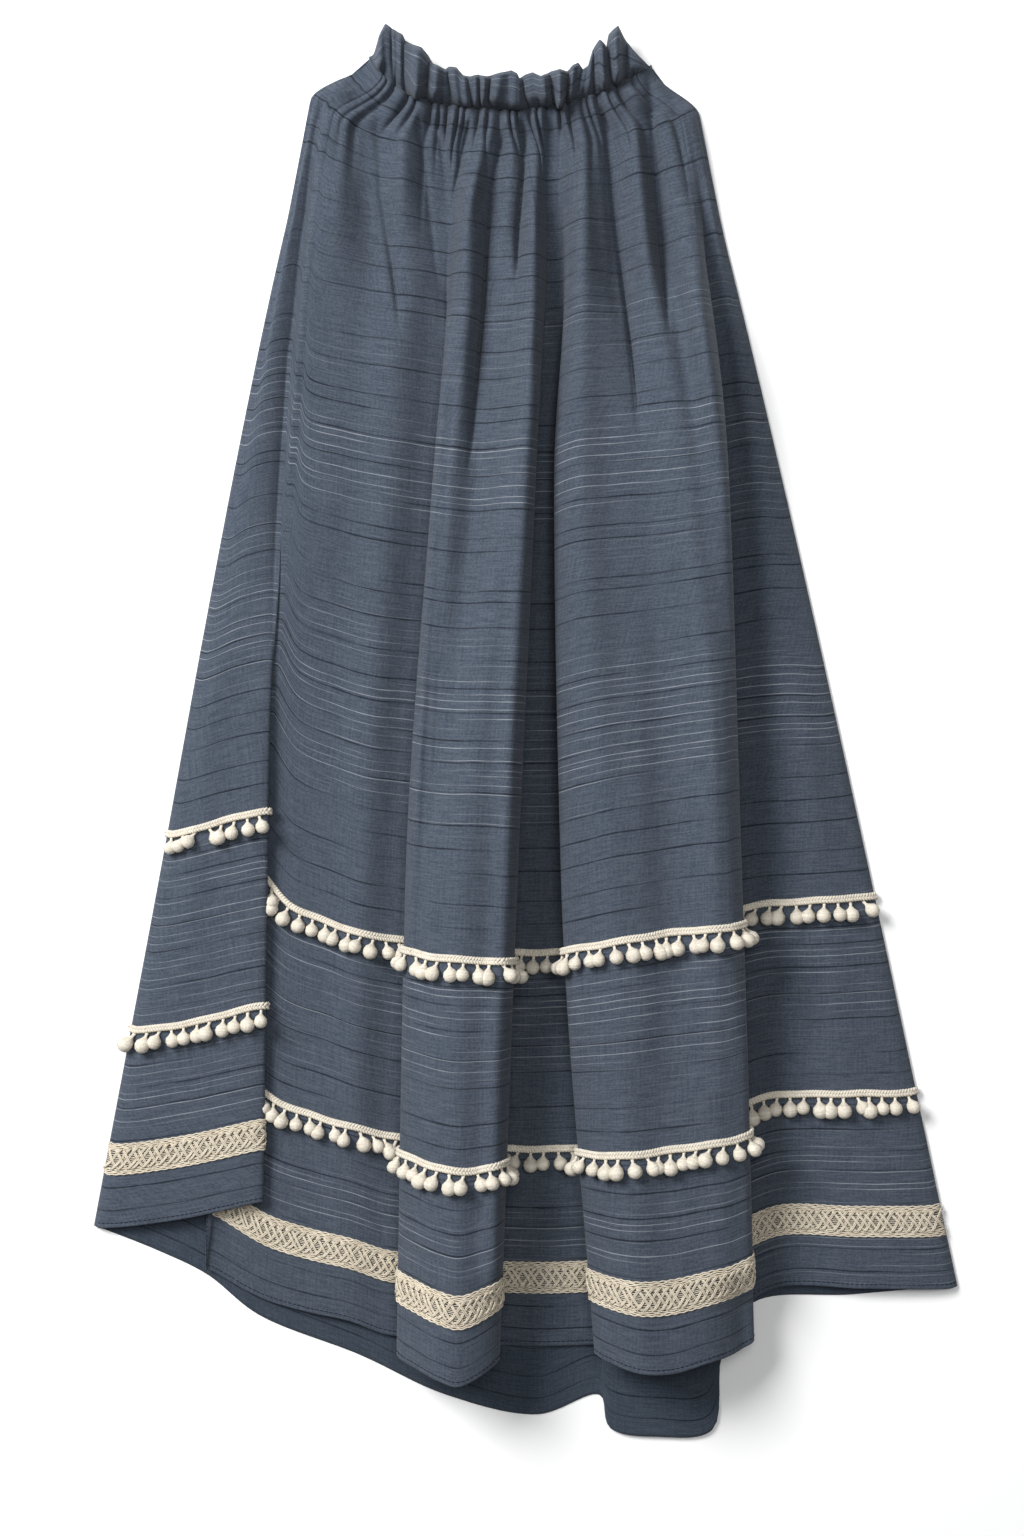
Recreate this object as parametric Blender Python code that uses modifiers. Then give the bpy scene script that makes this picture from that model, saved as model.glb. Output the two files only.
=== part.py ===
"""A long gathered skirt laid flat, face up, with its waist towards +Y and its hem towards -Y.

The front is one cloth that lies in deep folds over a flat back. Each fold line is a row of a table: its
place across the skirt and its height, at stations from the waist to the hem. A smooth curve through the
lines gives each row of the cloth, and the trims are made from the front's own points, moved out.
Metres, +Z up, resting on z = 0, with the middle of the outline on the z axis.
"""

import math
from typing import NamedTuple

import bmesh
import bpy
import numpy as np

MM = 0.001

# Cloth
WALL = 1.0 * MM
SEAM_GAP = 0.3 * MM
SEAM_PITCH = 0.8 * MM  # between the middles of two walls that meet at a seam
SIDE_HEIGHT = WALL + SEAM_GAP + WALL / 2
LAYER_RADIUS = 2.5 * MM

# Lengths down the middle of the front, from the lower edge of the casing
FRONT_LENGTH = 0.937
UPPER_TAPE_AT = 0.638
LOWER_TAPE_AT = 0.787
BRAID_AT = 0.885
TAPE_WIDTH = 5.0 * MM
BRAID_WIDTH = 23.0 * MM
TRIM_THICKNESS = 1.0 * MM
TRIM_CLEARANCE = 0.35 * MM
FLARE_RADIUS = 0.682
WAIST_Y = 0.4675  # puts the middle of the whole outline over the origin

# Waist
CASING_HEIGHT = 12.0 * MM
WAIST_LEFT = -118.0 * MM
WAIST_RIGHT = 96.0 * MM
WAIST_HEIGHT = 9.0 * MM
DRAWN_IN_OVER = 0.038
SHOULDER_OVER = 0.125
SHOULDER_RISE_LEFT = 30.0 * MM
SHOULDER_RISE_RIGHT = 27.0 * MM
SHOULDER_TURN_LEFT = 5  # the higher, the closer to the side the waist starts to climb
SHOULDER_TURN_RIGHT = 2
PLEAT_CELLS = 4
PLEAT_DEPTH = 3.4 * MM
PLEATS_FADE = 0.085
PLEATS_START = 4  # columns in from each side
PLEATS_FULL = 12
WAIST_ENDS = 0.05  # share of the waist over which its gathers die out at each end
RUFFLE_WAVES = 26
COLUMNS_PER_WAVE = 4
RUFFLE_DEPTH = 3.0 * MM
RUFFLE_EDGE_DEPTH = 5.5 * MM

# Back
BACK_WAIST_DROP = 17.0 * MM
BACK_WAIST_BOW = 0.7  # under 1 for a waist that drops quickly at its ends and is nearly level between
BACK_PLEAT_FROM = 0.70
BACK_PLEAT_TO = 0.86

# Pompoms
POMPOM_HALF_WIDTH = 4.1 * MM
POMPOM_ROOT_HALF_WIDTH = 0.45 * MM
POMPOM_END_HALF_WIDTH = 1.9 * MM
POMPOM_ROOT_INSIDE = 1.0 * MM
POMPOM_BELLY_AT = 7.5 * MM
POMPOM_END_AT = 12.0 * MM
POMPOM_PITCH = 12.5 * MM
POMPOM_LEAST_FACING = 0.5  # none where the cloth is steeper than this, as its normal's height
POMPOM_ROOM = 6.0 * MM  # none where a fold hangs over the cloth within this distance
OVERHANG_LEAST = 3.0 * MM
POMPOM_CLEARANCE = 0.9 * MM
POMPOM_MOST_HOLLOW = 1.3 * MM
HOLLOW_LIFT = 2.2  # a pompom in a hollow stands this many times the hollow's depth further out


class FoldLine(NamedTuple):
    """One line that runs down the front. Places, heights and lifts in millimetres."""

    name: str
    cells: int  # mesh columns from this line to the next one
    yoke: float  # place across at the waist, before the elastic draws it in
    hip: float
    thigh: float
    shin: float
    hem: float
    z_hip: float
    z_thigh: float
    z_shin: float
    z_hem: float
    lift_trim: float  # how far this line is hitched up at the upper tape
    lift_hem: float
    turn: str = ""  # "right" or "left" where the cloth doubles back at this line


STATIONS = np.array([0.0, 0.110, 0.285, 0.581, FRONT_LENGTH])
LIFT_STATIONS = np.array([0.0, 0.285, 0.600, FRONT_LENGTH])
LIFT_AT_THIGH = 0.5
DOUBLE_FROM = 0.44
DOUBLE_TO = 0.62
SIDE_ROUNDING_TOP = 2.5
SIDE_ROUNDING = 6.0
SIDE_ROUNDING_FULL_AT = 0.30
SIDE_ROUND_HEIGHT = 6.5

FRONT_LINES = (
    FoldLine("left panel", 2, -151, -174, -199, -226, -261, 8, 10, 12, 12, 78, 76),
    FoldLine("left panel edge", 2, -147, -169, -182, -193, -198, 8, 9, 13, 12.5, 91, 98, "right"),
    FoldLine("tucked edge", 2, -141, -161, -174, -199, -242, 11, 11.5, 7.5, 7, 48, 40, "left"),
    FoldLine("second panel", 5, -136, -154, -166, -176, -200, 12, 12, 5, 4.5, 24, 24),
    FoldLine("drag valley", 6, -122, -119, -137, -144, -168, 8, 9, 6, 5.5, 14, 18),
    FoldLine("drag crest", 6, -92, -95, -108, -121, -133, 17, 13, 9, 8, 8, 14),
    FoldLine("run under", 3, -66, -69, -78, -99, -108, 9, 7, 5.5, 5, 6, 6),
    FoldLine("first ridge foot", 3, -60, -61, -52, -70, -79, 9, 7, 6, 6, 4, 2),
    FoldLine("first ridge edge", 5, -55, -56, -69, -89, -96, 20, 32, 36, 34, 2, -3),
    FoldLine("first crest", 5, -43, -41, -57, -75, -79, 31, 50, 54, 54, -1, -10),
    FoldLine("first dip", 6, -29, -22, -37, -62, -64, 18, 38, 62, 66, -2, -15),
    FoldLine("second crest", 5, -10, 8, -8, -41, -49, 32, 56, 67, 70, -2, -18),
    FoldLine("second crest edge", 3, 8, 14, 7, -7, -20, 24, 42, 50, 50, -3, -2),
    FoldLine("second crest foot", 2, 12, 18, 0, -15, -28, 10, 7, 6, 6, -1, 0),
    FoldLine("deep valley", 2, 17, 23, 14, 14, 16, 8, 5.5, 5, 5, 0, 0),
    FoldLine("third ridge foot", 3, 24, 28, 29, 42, 64, 10, 7, 6, 7, 0, 0),
    FoldLine("third ridge edge", 5, 30, 32, 22, 27, 52, 20, 34, 36, 34, 2, 0),
    FoldLine("third crest", 5, 46, 44, 39, 61, 84, 31, 53, 62, 63, 10, -11),
    FoldLine("third dip", 5, 59, 67, 79, 97, 108, 18, 42, 54, 62, 13, -13),
    FoldLine("fourth crest", 3, 74, 89, 117, 137, 137, 30, 55, 62, 56, 14, -8),
    FoldLine("fourth dip", 3, 84, 105, 129, 147, 151, 18, 50, 56, 48, 14, -6),
    FoldLine("fifth crest", 3, 97, 127, 140, 155, 162, 28, 46, 46, 39, 15, -3),
    FoldLine("last ridge edge", 3, 109, 132, 150, 160, 171, 20, 36, 38, 34, 15, 1),
    FoldLine("last ridge foot", 2, 113, 136, 142, 150, 160, 9, 7, 6, 6, 19, 16),
    FoldLine("right panel edge", 4, 116, 140, 160, 176, 190, 8, 7, 6, 6, 23, 33),
    FoldLine("right panel", 3, 119, 144, 173, 209, 258, 9, 12, 12, 11, 21, 24),
)
LEFT_SIDE = FoldLine("left side", 1, -154, -179, -212, -261, -327, 0, 0, 0, 0, 63, 58)
RIGHT_SIDE = FoldLine("right side", 0, 123, 150, 190, 253, 328, 0, 0, 0, 0, 16, 12)
SIDE_CELLS = 2
SIDE_POINTS = 2  # the side itself and its rounding, before the first line
GATHERED_FROM = "second panel"
GATHERED_TO = "last ridge edge"
SIDE_CELL_AT_WAIST = 0.9 * MM

FRONT_ROWS = (
    0.0, 0.012, 0.030, 0.055, 0.090, 0.140, 0.210, 0.300, 0.410, 0.530,
    UPPER_TAPE_AT - TAPE_WIDTH / 2, UPPER_TAPE_AT + TAPE_WIDTH / 2, 0.710,
    LOWER_TAPE_AT - TAPE_WIDTH / 2, LOWER_TAPE_AT + TAPE_WIDTH / 2,
    BRAID_AT - BRAID_WIDTH / 2, BRAID_AT + BRAID_WIDTH / 2, FRONT_LENGTH,
)


class BackLine(NamedTuple):
    """One line that runs down the back. Shares are of its width, drops and heights in millimetres."""

    cells: int
    share: float
    share_hem: float
    drop_hem: float  # how far the hem hangs below a straight line between the hem's corners
    z_hem: float = 0.5


BACK_LINES = (
    BackLine(2, 0.000, 0.000, 0),
    BackLine(2, 0.070, 0.071, -15),
    BackLine(2, 0.130, 0.130, -31),
    BackLine(2, 0.190, 0.190, -59),
    BackLine(2, 0.300, 0.307, -84),
    BackLine(2, 0.400, 0.408, -110),
    BackLine(2, 0.500, 0.514, -120),
    BackLine(1, 0.580, 0.586, -102),
    BackLine(2, 0.620, 0.598, -126, 3.0),
    BackLine(2, 0.650, 0.655, -130, 3.4),
    BackLine(1, 0.680, 0.716, -122, 3.0),
    BackLine(2, 0.700, 0.728, -64),
    BackLine(2, 0.760, 0.763, -24),
    BackLine(2, 0.880, 0.880, -12),
    BackLine(0, 1.000, 1.000, 0),
)
BACK_ROWS = (0.0, 0.04, 0.12, 0.25, 0.42, 0.58, 0.70, 0.78, 0.86, 0.93, 1.0)


class RuffleStation(NamedTuple):
    """The heading at one place along the waist, in millimetres."""

    share: float
    reach: float  # how far its edge stands off the casing, seen from above
    lean: float  # how far its edge leans to the right
    rise: float  # how far its edge stands up


RUFFLE = (
    RuffleStation(0.00, 14, 5, 3),
    RuffleStation(0.06, 33, 8, 7),
    RuffleStation(0.14, 37, 6, 9),
    RuffleStation(0.22, 29, 8, 14),
    RuffleStation(0.34, 19, 7, 20),
    RuffleStation(0.50, 19, 5, 21),
    RuffleStation(0.64, 18, 3, 21),
    RuffleStation(0.76, 19, 4, 18),
    RuffleStation(0.86, 28, 6, 12),
    RuffleStation(0.93, 33, 3, 8),
    RuffleStation(1.00, 14, -3, 3),
)
RUFFLE_BANDS = 3
RUFFLE_CURL = 1.4  # over 1 for a heading that stands up more towards its edge
RUFFLE_UNEVEN = ((0.07, 11.0, 0.1), (0.05, 5.0, 0.0))  # size, turns along the waist, start of each wave
BACK_RUFFLE_WAVES = 14
BACK_RUFFLE_REACH = 24.0 * MM
BACK_RUFFLE_DEPTH = 2.2 * MM
BACK_WAIST_ENDS = 0.12  # share of the waist over which the back's heading narrows at each end
BACK_RUFFLE_AT_ENDS = 0.2  # share of its reach that is left there


def ease(value, start, end):
    """0 below start, 1 above end, and a smooth step between them."""
    t = np.clip((np.asarray(value, float) - start) / (end - start), 0.0, 1.0)
    return t * t * (3.0 - 2.0 * t)


def through(places, values, at):
    """A smooth curve without overshoot through values (last axis) at places, read at one place."""
    values = np.asarray(values, float)
    gaps = np.diff(places)
    rises = np.diff(values, axis=-1) / gaps
    before, after = rises[..., :-1], rises[..., 1:]
    slopes = np.zeros_like(values)
    same_way = before * after > 0
    total = np.where(same_way, before + after, 1.0)
    slopes[..., 1:-1] = np.where(same_way, 2.0 * before * after / total, 0.0)
    slopes[..., 0] = rises[..., 0]
    slopes[..., -1] = rises[..., -1]
    cell = int(np.clip(np.searchsorted(places, at, side="right") - 1, 0, len(gaps) - 1))
    t = (at - places[cell]) / gaps[cell]
    return (
        (2 * t**3 - 3 * t**2 + 1) * values[..., cell]
        + (t**3 - 2 * t**2 + t) * gaps[cell] * slopes[..., cell]
        + (3 * t**2 - 2 * t**3) * values[..., cell + 1]
        + (t**3 - t**2) * gaps[cell] * slopes[..., cell + 1]
    )


def curve_through(points, cells):
    """Points of a round curve through the given ones, with the stated cells between each pair."""
    step = np.sqrt(np.linalg.norm(np.diff(points, axis=0), axis=1)) + 1e-9
    slopes = np.empty_like(points)
    before = (points[1:-1] - points[:-2]) / step[:-1, None]
    after = (points[2:] - points[1:-1]) / step[1:, None]
    across = (points[2:] - points[:-2]) / (step[:-1] + step[1:])[:, None]
    slopes[1:-1] = before + after - across
    slopes[0] = (points[1] - points[0]) / step[0]
    slopes[-1] = (points[-1] - points[-2]) / step[-1]
    out = []
    for i, count in enumerate(cells):
        for k in range(count):
            t = k / count
            out.append(
                (2 * t**3 - 3 * t**2 + 1) * points[i]
                + (t**3 - 2 * t**2 + t) * step[i] * slopes[i]
                + (3 * t**2 - 2 * t**3) * points[i + 1]
                + (t**3 - t**2) * step[i] * slopes[i + 1]
            )
    out.append(points[-1])
    return np.array(out)


def doubled(x, z, radius, turn, amount):
    """Three (x, z) points at a fold edge: level where amount is 0, a half turn down where it is 1."""
    drop = amount * radius
    if turn == "right":
        return ((x - radius, z + drop), (x, z), (x + (1 - 2 * amount) * radius, z - drop))
    return ((x + (2 * amount - 1) * radius, z + drop), (x, z), (x + radius, z - drop))


def waist_share(x):
    """Where a place lies along the gathered waist, 0 at its left end and 1 at its right."""
    return (x - WAIST_LEFT) / (WAIST_RIGHT - WAIST_LEFT)


def shoulder_rise(share):
    """How far the waist climbs towards its ends, above the arc that the flare gives."""
    side = 2.0 * share - 1.0
    left = SHOULDER_RISE_LEFT * np.clip(-side, 0, 1) ** SHOULDER_TURN_LEFT
    right = SHOULDER_RISE_RIGHT * np.clip(side, 0, 1) ** SHOULDER_TURN_RIGHT
    return left + right


def arc(x, v):
    """The rise of a row towards the sides, because the skirt flares."""
    return x * x / (2.0 * (FLARE_RADIUS + v))


def gathered_places(cells):
    """Where each line is drawn in to at the waist: close at the sides, even between them."""
    names = [line.name for line in FRONT_LINES]
    first = names.index(GATHERED_FROM)
    last = names.index(GATHERED_TO)
    at = np.concatenate([[0], np.cumsum(cells)])
    turns_before = sum(bool(line.turn) for line in FRONT_LINES[:first])
    start = SIDE_POINTS + first + 2 * turns_before
    end = SIDE_POINTS + last + 2 * turns_before
    width = WAIST_RIGHT - WAIST_LEFT
    even = (width - SIDE_CELL_AT_WAIST * (at[start] + at[-1] - at[end])) / (at[end] - at[start])
    sizes = np.where((at[:-1] >= at[start]) & (at[:-1] < at[end]), even, SIDE_CELL_AT_WAIST)
    return WAIST_LEFT + np.concatenate([[0], np.cumsum(sizes * np.asarray(cells))])


def front_cells():
    """The cells between the control points of a row, with two short ones round each doubled edge."""
    cells = [LEFT_SIDE.cells, SIDE_CELLS]
    for line in FRONT_LINES:
        cells += [1, 1, line.cells] if line.turn else [line.cells]
    return cells + [1]


def line_at(line, v):
    """Place, height and lift of a fold line at a distance down the cloth."""
    place = through(STATIONS, (line.yoke, line.hip, line.thigh, line.shin, line.hem), v)
    waist = WAIST_HEIGHT / MM
    height = through(STATIONS, (waist, line.z_hip, line.z_thigh, line.z_shin, line.z_hem), v)
    lifts = (0.0, LIFT_AT_THIGH * line.lift_trim, line.lift_trim, line.lift_hem)
    return place * MM, height * MM, through(LIFT_STATIONS, lifts, v) * MM


def front_controls(v):
    """The control points of the front's row at a distance down the cloth."""
    amount = float(ease(v, DOUBLE_FROM, DOUBLE_TO))
    widened = float(ease(v, 0.0, SIDE_ROUNDING_FULL_AT))
    rounding = (SIDE_ROUNDING_TOP + widened * (SIDE_ROUNDING - SIDE_ROUNDING_TOP)) * MM
    x, _, lift = line_at(LEFT_SIDE, v)
    found = [(x, SIDE_HEIGHT, lift), (x + rounding, SIDE_ROUND_HEIGHT * MM, lift)]
    for line in FRONT_LINES:
        x, z, lift = line_at(line, v)
        if line.turn:
            found += [(a, b, lift) for a, b in doubled(x, z, LAYER_RADIUS, line.turn, amount)]
        else:
            found.append((x, z, lift))
    x, _, lift = line_at(RIGHT_SIDE, v)
    found += [(x - rounding, SIDE_ROUND_HEIGHT * MM, lift), (x, SIDE_HEIGHT, lift)]
    x, z, lift = np.array(found).T
    places = gathered_places(front_cells())
    drawn = 1.0 - float(ease(v, 0.0, DRAWN_IN_OVER))
    x = x + drawn * (places - x)
    lift = lift + shoulder_rise(waist_share(places)) * (1.0 - float(ease(v, 0.0, SHOULDER_OVER)))
    return np.stack([x, WAIST_Y - v + arc(x, v) + lift, z], axis=1)


def front_row(v):
    """The middle of the front's cloth along one row, with its small pleats near the waist."""
    row = curve_through(front_controls(v), front_cells())
    column = np.arange(len(row))
    from_end = np.minimum(column, column[-1] - column)
    inside = ease(from_end, PLEATS_START, PLEATS_FULL)
    fade = math.exp(-((v / PLEATS_FADE) ** 2))
    row[:, 2] += PLEAT_DEPTH * fade * inside * np.cos(2 * math.pi * column / PLEAT_CELLS)
    return row


def front_grid(rows):
    """The front's cloth as rows of points."""
    return np.array([front_row(v) for v in rows])


def back_grid():
    """The back's cloth as rows of points: flat on the ground, with one box pleat at the hem."""
    cells = [line.cells for line in BACK_LINES[:-1]]
    rows = []
    for down in BACK_ROWS:
        v = down * FRONT_LENGTH
        left, right = front_controls(v)[[0, -1]]
        spread = float(ease(down, BACK_PLEAT_FROM, BACK_PLEAT_TO))
        found = []
        for line in BACK_LINES:
            share = line.share + spread * (line.share_hem - line.share)
            z = WALL / 2 + spread * (line.z_hem * MM - WALL / 2)
            x, y = left[:2] + share * (right[:2] - left[:2])
            bow = math.sin(math.pi * share) ** BACK_WAIST_BOW
            top = -(BACK_WAIST_DROP + SHOULDER_RISE_LEFT) * bow * (1 - down)
            y += top + line.drop_hem * MM * float(ease(down, 0.0, 1.0))
            found.append((x, y, z))
        row = curve_through(np.array(found), cells)
        row[:, 2] = np.maximum(row[:, 2], WALL / 2)
        rows.append(row)
    return np.array(rows)


def ruffle_columns(waves):
    """Shares along the waist, the same number to each wave."""
    return np.linspace(0.0, 1.0, COLUMNS_PER_WAVE * waves + 1)


def waist_curve(share):
    """The line that the gathers are sewn along, as x and y."""
    x = WAIST_LEFT + share * (WAIST_RIGHT - WAIST_LEFT)
    return x, WAIST_Y + arc(x, 0.0) + shoulder_rise(share)


def seam_step(x, y):
    """How far above the waist line a piece starts, more where that line is steep."""
    slope = np.gradient(y, x)
    return SEAM_PITCH * np.sqrt(1.0 + slope * slope)


def waist_ends(share):
    """0 at both ends of the waist and 1 between them."""
    return ease(np.minimum(share, 1.0 - share), 0.0, WAIST_ENDS)


def casing_front_grid():
    """The narrow gathered band that holds the elastic, over the top of the front."""
    share = ruffle_columns(RUFFLE_WAVES)
    x, y = waist_curve(share)
    end = waist_ends(share)
    middle = SIDE_HEIGHT + (WAIST_HEIGHT - SIDE_HEIGHT) * end
    z = middle + RUFFLE_DEPTH * end * np.cos(2 * math.pi * RUFFLE_WAVES * share)
    rows = []
    for up in (seam_step(x, y), CASING_HEIGHT):
        rows.append(np.stack([x, y + up, z], axis=1))
    return np.array(rows[::-1])


def ruffle_front_grid():
    """The ruffled heading, which lies down at the sides and stands up in the middle."""
    share = ruffle_columns(RUFFLE_WAVES)
    x, y = waist_curve(share)
    end = waist_ends(share)
    middle = SIDE_HEIGHT + (WAIST_HEIGHT - SIDE_HEIGHT) * end
    places = np.array([station.share for station in RUFFLE])
    sizes = np.array([[s.reach, s.lean, s.rise] for s in RUFFLE]).T * MM
    reach, lean, rise = np.array([through(places, sizes, s) for s in share]).T
    wave = np.cos(2 * math.pi * RUFFLE_WAVES * share)
    uneven = 1.0
    for size, turns, start in RUFFLE_UNEVEN:
        uneven = uneven + size * np.sin(2 * math.pi * (turns * share + start))
    rows = []
    for band in range(RUFFLE_BANDS + 1):
        up = band / RUFFLE_BANDS
        depth = RUFFLE_DEPTH + up * (RUFFLE_EDGE_DEPTH - RUFFLE_DEPTH)
        height = middle + rise * up**RUFFLE_CURL + depth * end * wave
        along_x = x + lean * up
        along_y = y + CASING_HEIGHT + seam_step(x, y) + reach * uneven * up
        rows.append(np.stack([along_x, along_y, height], axis=1))
    return np.array(rows[::-1])


def back_waist_grids():
    """The casing and the heading of the back, under those of the front."""
    share = ruffle_columns(BACK_RUFFLE_WAVES)
    top = back_grid()[0]
    along = np.linalg.norm(np.diff(top[:, :2], axis=0), axis=1)
    at = np.concatenate([[0], np.cumsum(along)]) / along.sum()
    x = np.interp(share, at, top[:, 0])
    y = np.interp(share, at, top[:, 1])
    wave = 0.5 - 0.5 * np.cos(2 * math.pi * BACK_RUFFLE_WAVES * share)
    end = ease(np.minimum(share, 1.0 - share), 0.0, BACK_WAIST_ENDS)
    reaches = BACK_RUFFLE_REACH * (BACK_RUFFLE_AT_ENDS + (1.0 - BACK_RUFFLE_AT_ENDS) * end)
    casing = []
    for up in (CASING_HEIGHT, seam_step(x, y)):
        casing.append(np.stack([x, y + up, WALL / 2 + 0.0 * x], axis=1))
    heading = []
    for up in (1.0, 0.5, 0.0):
        z = WALL / 2 + BACK_RUFFLE_DEPTH * wave * end * up
        reach = CASING_HEIGHT + seam_step(x, y) + reaches * up
        heading.append(np.stack([x, y + reach, z], axis=1))
    return np.array(casing), np.array(heading)


def material(name, colour, roughness):
    """A plain finish for one piece."""
    made = bpy.data.materials.new(name)
    made.use_nodes = True
    shader = made.node_tree.nodes["Principled BSDF"]
    shader.inputs["Base Color"].default_value = (*colour, 1.0)
    shader.inputs["Roughness"].default_value = roughness
    shader.inputs["Metallic"].default_value = 0.0
    return made


def sheet(name, grid, finish, collection):
    """An open sheet through a grid of points, rows running down and columns to the right, face up."""
    rows, columns = grid.shape[:2]
    mesh = bpy.data.meshes.new(name)
    work = bmesh.new()
    points = [[work.verts.new(point) for point in row] for row in grid]
    for i in range(rows - 1):
        for j in range(columns - 1):
            work.faces.new((points[i + 1][j], points[i + 1][j + 1], points[i][j + 1], points[i][j]))
    work.normal_update()
    work.to_mesh(mesh)
    work.free()
    mesh.shade_smooth()
    mesh.materials.append(finish)
    made = bpy.data.objects.new(name, mesh)
    collection.objects.link(made)
    return made


def thicken(made, thickness, offset=0.0):
    """Gives a sheet its wall. An offset over 1 lifts the wall off the sheet."""
    wall = made.modifiers.new("Wall", "SOLIDIFY")
    wall.thickness = thickness
    wall.offset = offset
    wall.use_even_offset = True
    wall.use_quality_normals = True


def strip(name, middle, width, finish, collection):
    """A narrow band round the front, made from its points and lifted just clear of its wall."""
    rows = front_grid((middle - width / 2, middle + width / 2))
    made = sheet(name, rows, finish, collection)
    lift = WALL / 2 + TRIM_CLEARANCE
    thicken(made, TRIM_THICKNESS, 1.0 + 2.0 * lift / TRIM_THICKNESS)
    return made


def covered(row, point):
    """Whether a fold of the row hangs over a point of it, or close beside it."""
    low = np.minimum(row[:-1, 0], row[1:, 0]) - POMPOM_ROOM
    high = np.maximum(row[:-1, 0], row[1:, 0]) + POMPOM_ROOM
    above = np.minimum(row[:-1, 2], row[1:, 2]) > point[2] + OVERHANG_LEAST
    steep = np.abs(row[1:, 0] - row[:-1, 0]) < np.abs(row[1:, 2] - row[:-1, 2])
    return bool(np.any(above & ~steep & (low < point[0]) & (high > point[0])))


def pompom_places(edge):
    """Root, direction down, outward direction and depth of hollow for each pompom of a tape."""
    row = front_row(edge)
    below = front_row(edge + POMPOM_END_AT)
    along = np.concatenate([[0], np.cumsum(np.linalg.norm(np.diff(row, axis=0), axis=1))])
    places = []
    for at in np.arange(POMPOM_PITCH / 2, along[-1] - POMPOM_PITCH / 2, POMPOM_PITCH):
        root, lower, before, after = (
            np.array([np.interp(at + shift, along, points[:, axis]) for axis in range(3)])
            for shift, points in ((0, row), (0, below), (-POMPOM_ROOM, row), (POMPOM_ROOM, row))
        )
        down = (lower - root) / np.linalg.norm(lower - root)
        outward = np.cross(down, after - before)
        outward /= np.linalg.norm(outward)
        hollow = max(0.0, float(np.dot((before + after) / 2 - root, outward)))
        fits = outward[2] > POMPOM_LEAST_FACING and hollow < POMPOM_MOST_HOLLOW
        if fits and not covered(row, root):
            places.append((root, down, outward, hollow))
    return places


def pompoms(name, edge, finish, collection):
    """Four-sided pear shapes that hang from a tape's lower edge, as one helper mesh."""
    work = bmesh.new()
    root_height = WALL / 2 + TRIM_CLEARANCE + TRIM_THICKNESS / 2
    belly_height = WALL / 2 + POMPOM_CLEARANCE + POMPOM_HALF_WIDTH
    for root, down, outward, hollow in pompom_places(edge):
        aside = np.cross(outward, down)
        height = belly_height + HOLLOW_LIFT * hollow
        profile = (
            (-POMPOM_ROOT_INSIDE, root_height, POMPOM_ROOT_HALF_WIDTH),
            (POMPOM_BELLY_AT, height, POMPOM_HALF_WIDTH),
            (POMPOM_END_AT, height, POMPOM_END_HALF_WIDTH),
        )
        rings = []
        for reach, rise, half in profile:
            middle = root + down * reach + outward * rise
            corners = ((-1, -1), (1, -1), (1, 1), (-1, 1))
            rings.append([work.verts.new(middle + half * (a * aside + b * outward)) for a, b in corners])
        for upper, lower in zip(rings, rings[1:]):
            for k in range(4):
                work.faces.new((upper[k], upper[k - 1], lower[k - 1], lower[k]))
        work.faces.new(rings[0])
        work.faces.new(rings[-1][::-1])
    bmesh.ops.recalc_face_normals(work, faces=work.faces)
    mesh = bpy.data.meshes.new(name)
    work.to_mesh(mesh)
    work.free()
    mesh.materials.append(finish)
    made = bpy.data.objects.new(name, mesh)
    made.hide_render = True
    made.display_type = "WIRE"
    collection.objects.link(made)
    return made


def pompom_trim(name, middle, finish, collection, helpers):
    """A tape with its pompoms, fused into one piece."""
    tape = strip(name, middle, TAPE_WIDTH, finish, collection)
    fused = tape.modifiers.new("Pompoms", "BOOLEAN")
    fused.operation = "UNION"
    fused.object = pompoms(name + " pompoms", middle + TAPE_WIDTH / 2, finish, helpers)
    return tape


def main():
    for old in list(bpy.data.objects):
        bpy.data.objects.remove(old)
    skirt = bpy.data.collections.new("gathered skirt")
    bpy.context.scene.collection.children.link(skirt)
    helpers = bpy.data.collections.new("helpers")
    bpy.context.scene.collection.children.link(helpers)
    cloth = material("slate blue slub cloth", (0.10, 0.125, 0.16), 0.9)
    ecru = material("ecru cotton", (0.60, 0.55, 0.47), 0.9)
    braid = material("natural lattice braid", (0.52, 0.46, 0.37), 0.85)
    thicken(sheet("front_panel", front_grid(FRONT_ROWS), cloth, skirt), WALL)
    thicken(sheet("back_panel", back_grid(), cloth, skirt), WALL)
    thicken(sheet("waist_casing_front", casing_front_grid(), cloth, skirt), WALL)
    thicken(sheet("waist_ruffle_front", ruffle_front_grid(), cloth, skirt), WALL)
    casing, heading = back_waist_grids()
    thicken(sheet("waist_casing_back", casing, cloth, skirt), WALL)
    thicken(sheet("waist_ruffle_back", heading, cloth, skirt), WALL)
    pompom_trim("pompom_trim_upper", UPPER_TAPE_AT, ecru, skirt, helpers)
    pompom_trim("pompom_trim_lower", LOWER_TAPE_AT, ecru, skirt, helpers)
    strip("hem_braid", BRAID_AT, BRAID_WIDTH, braid, skirt)


main()
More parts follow.
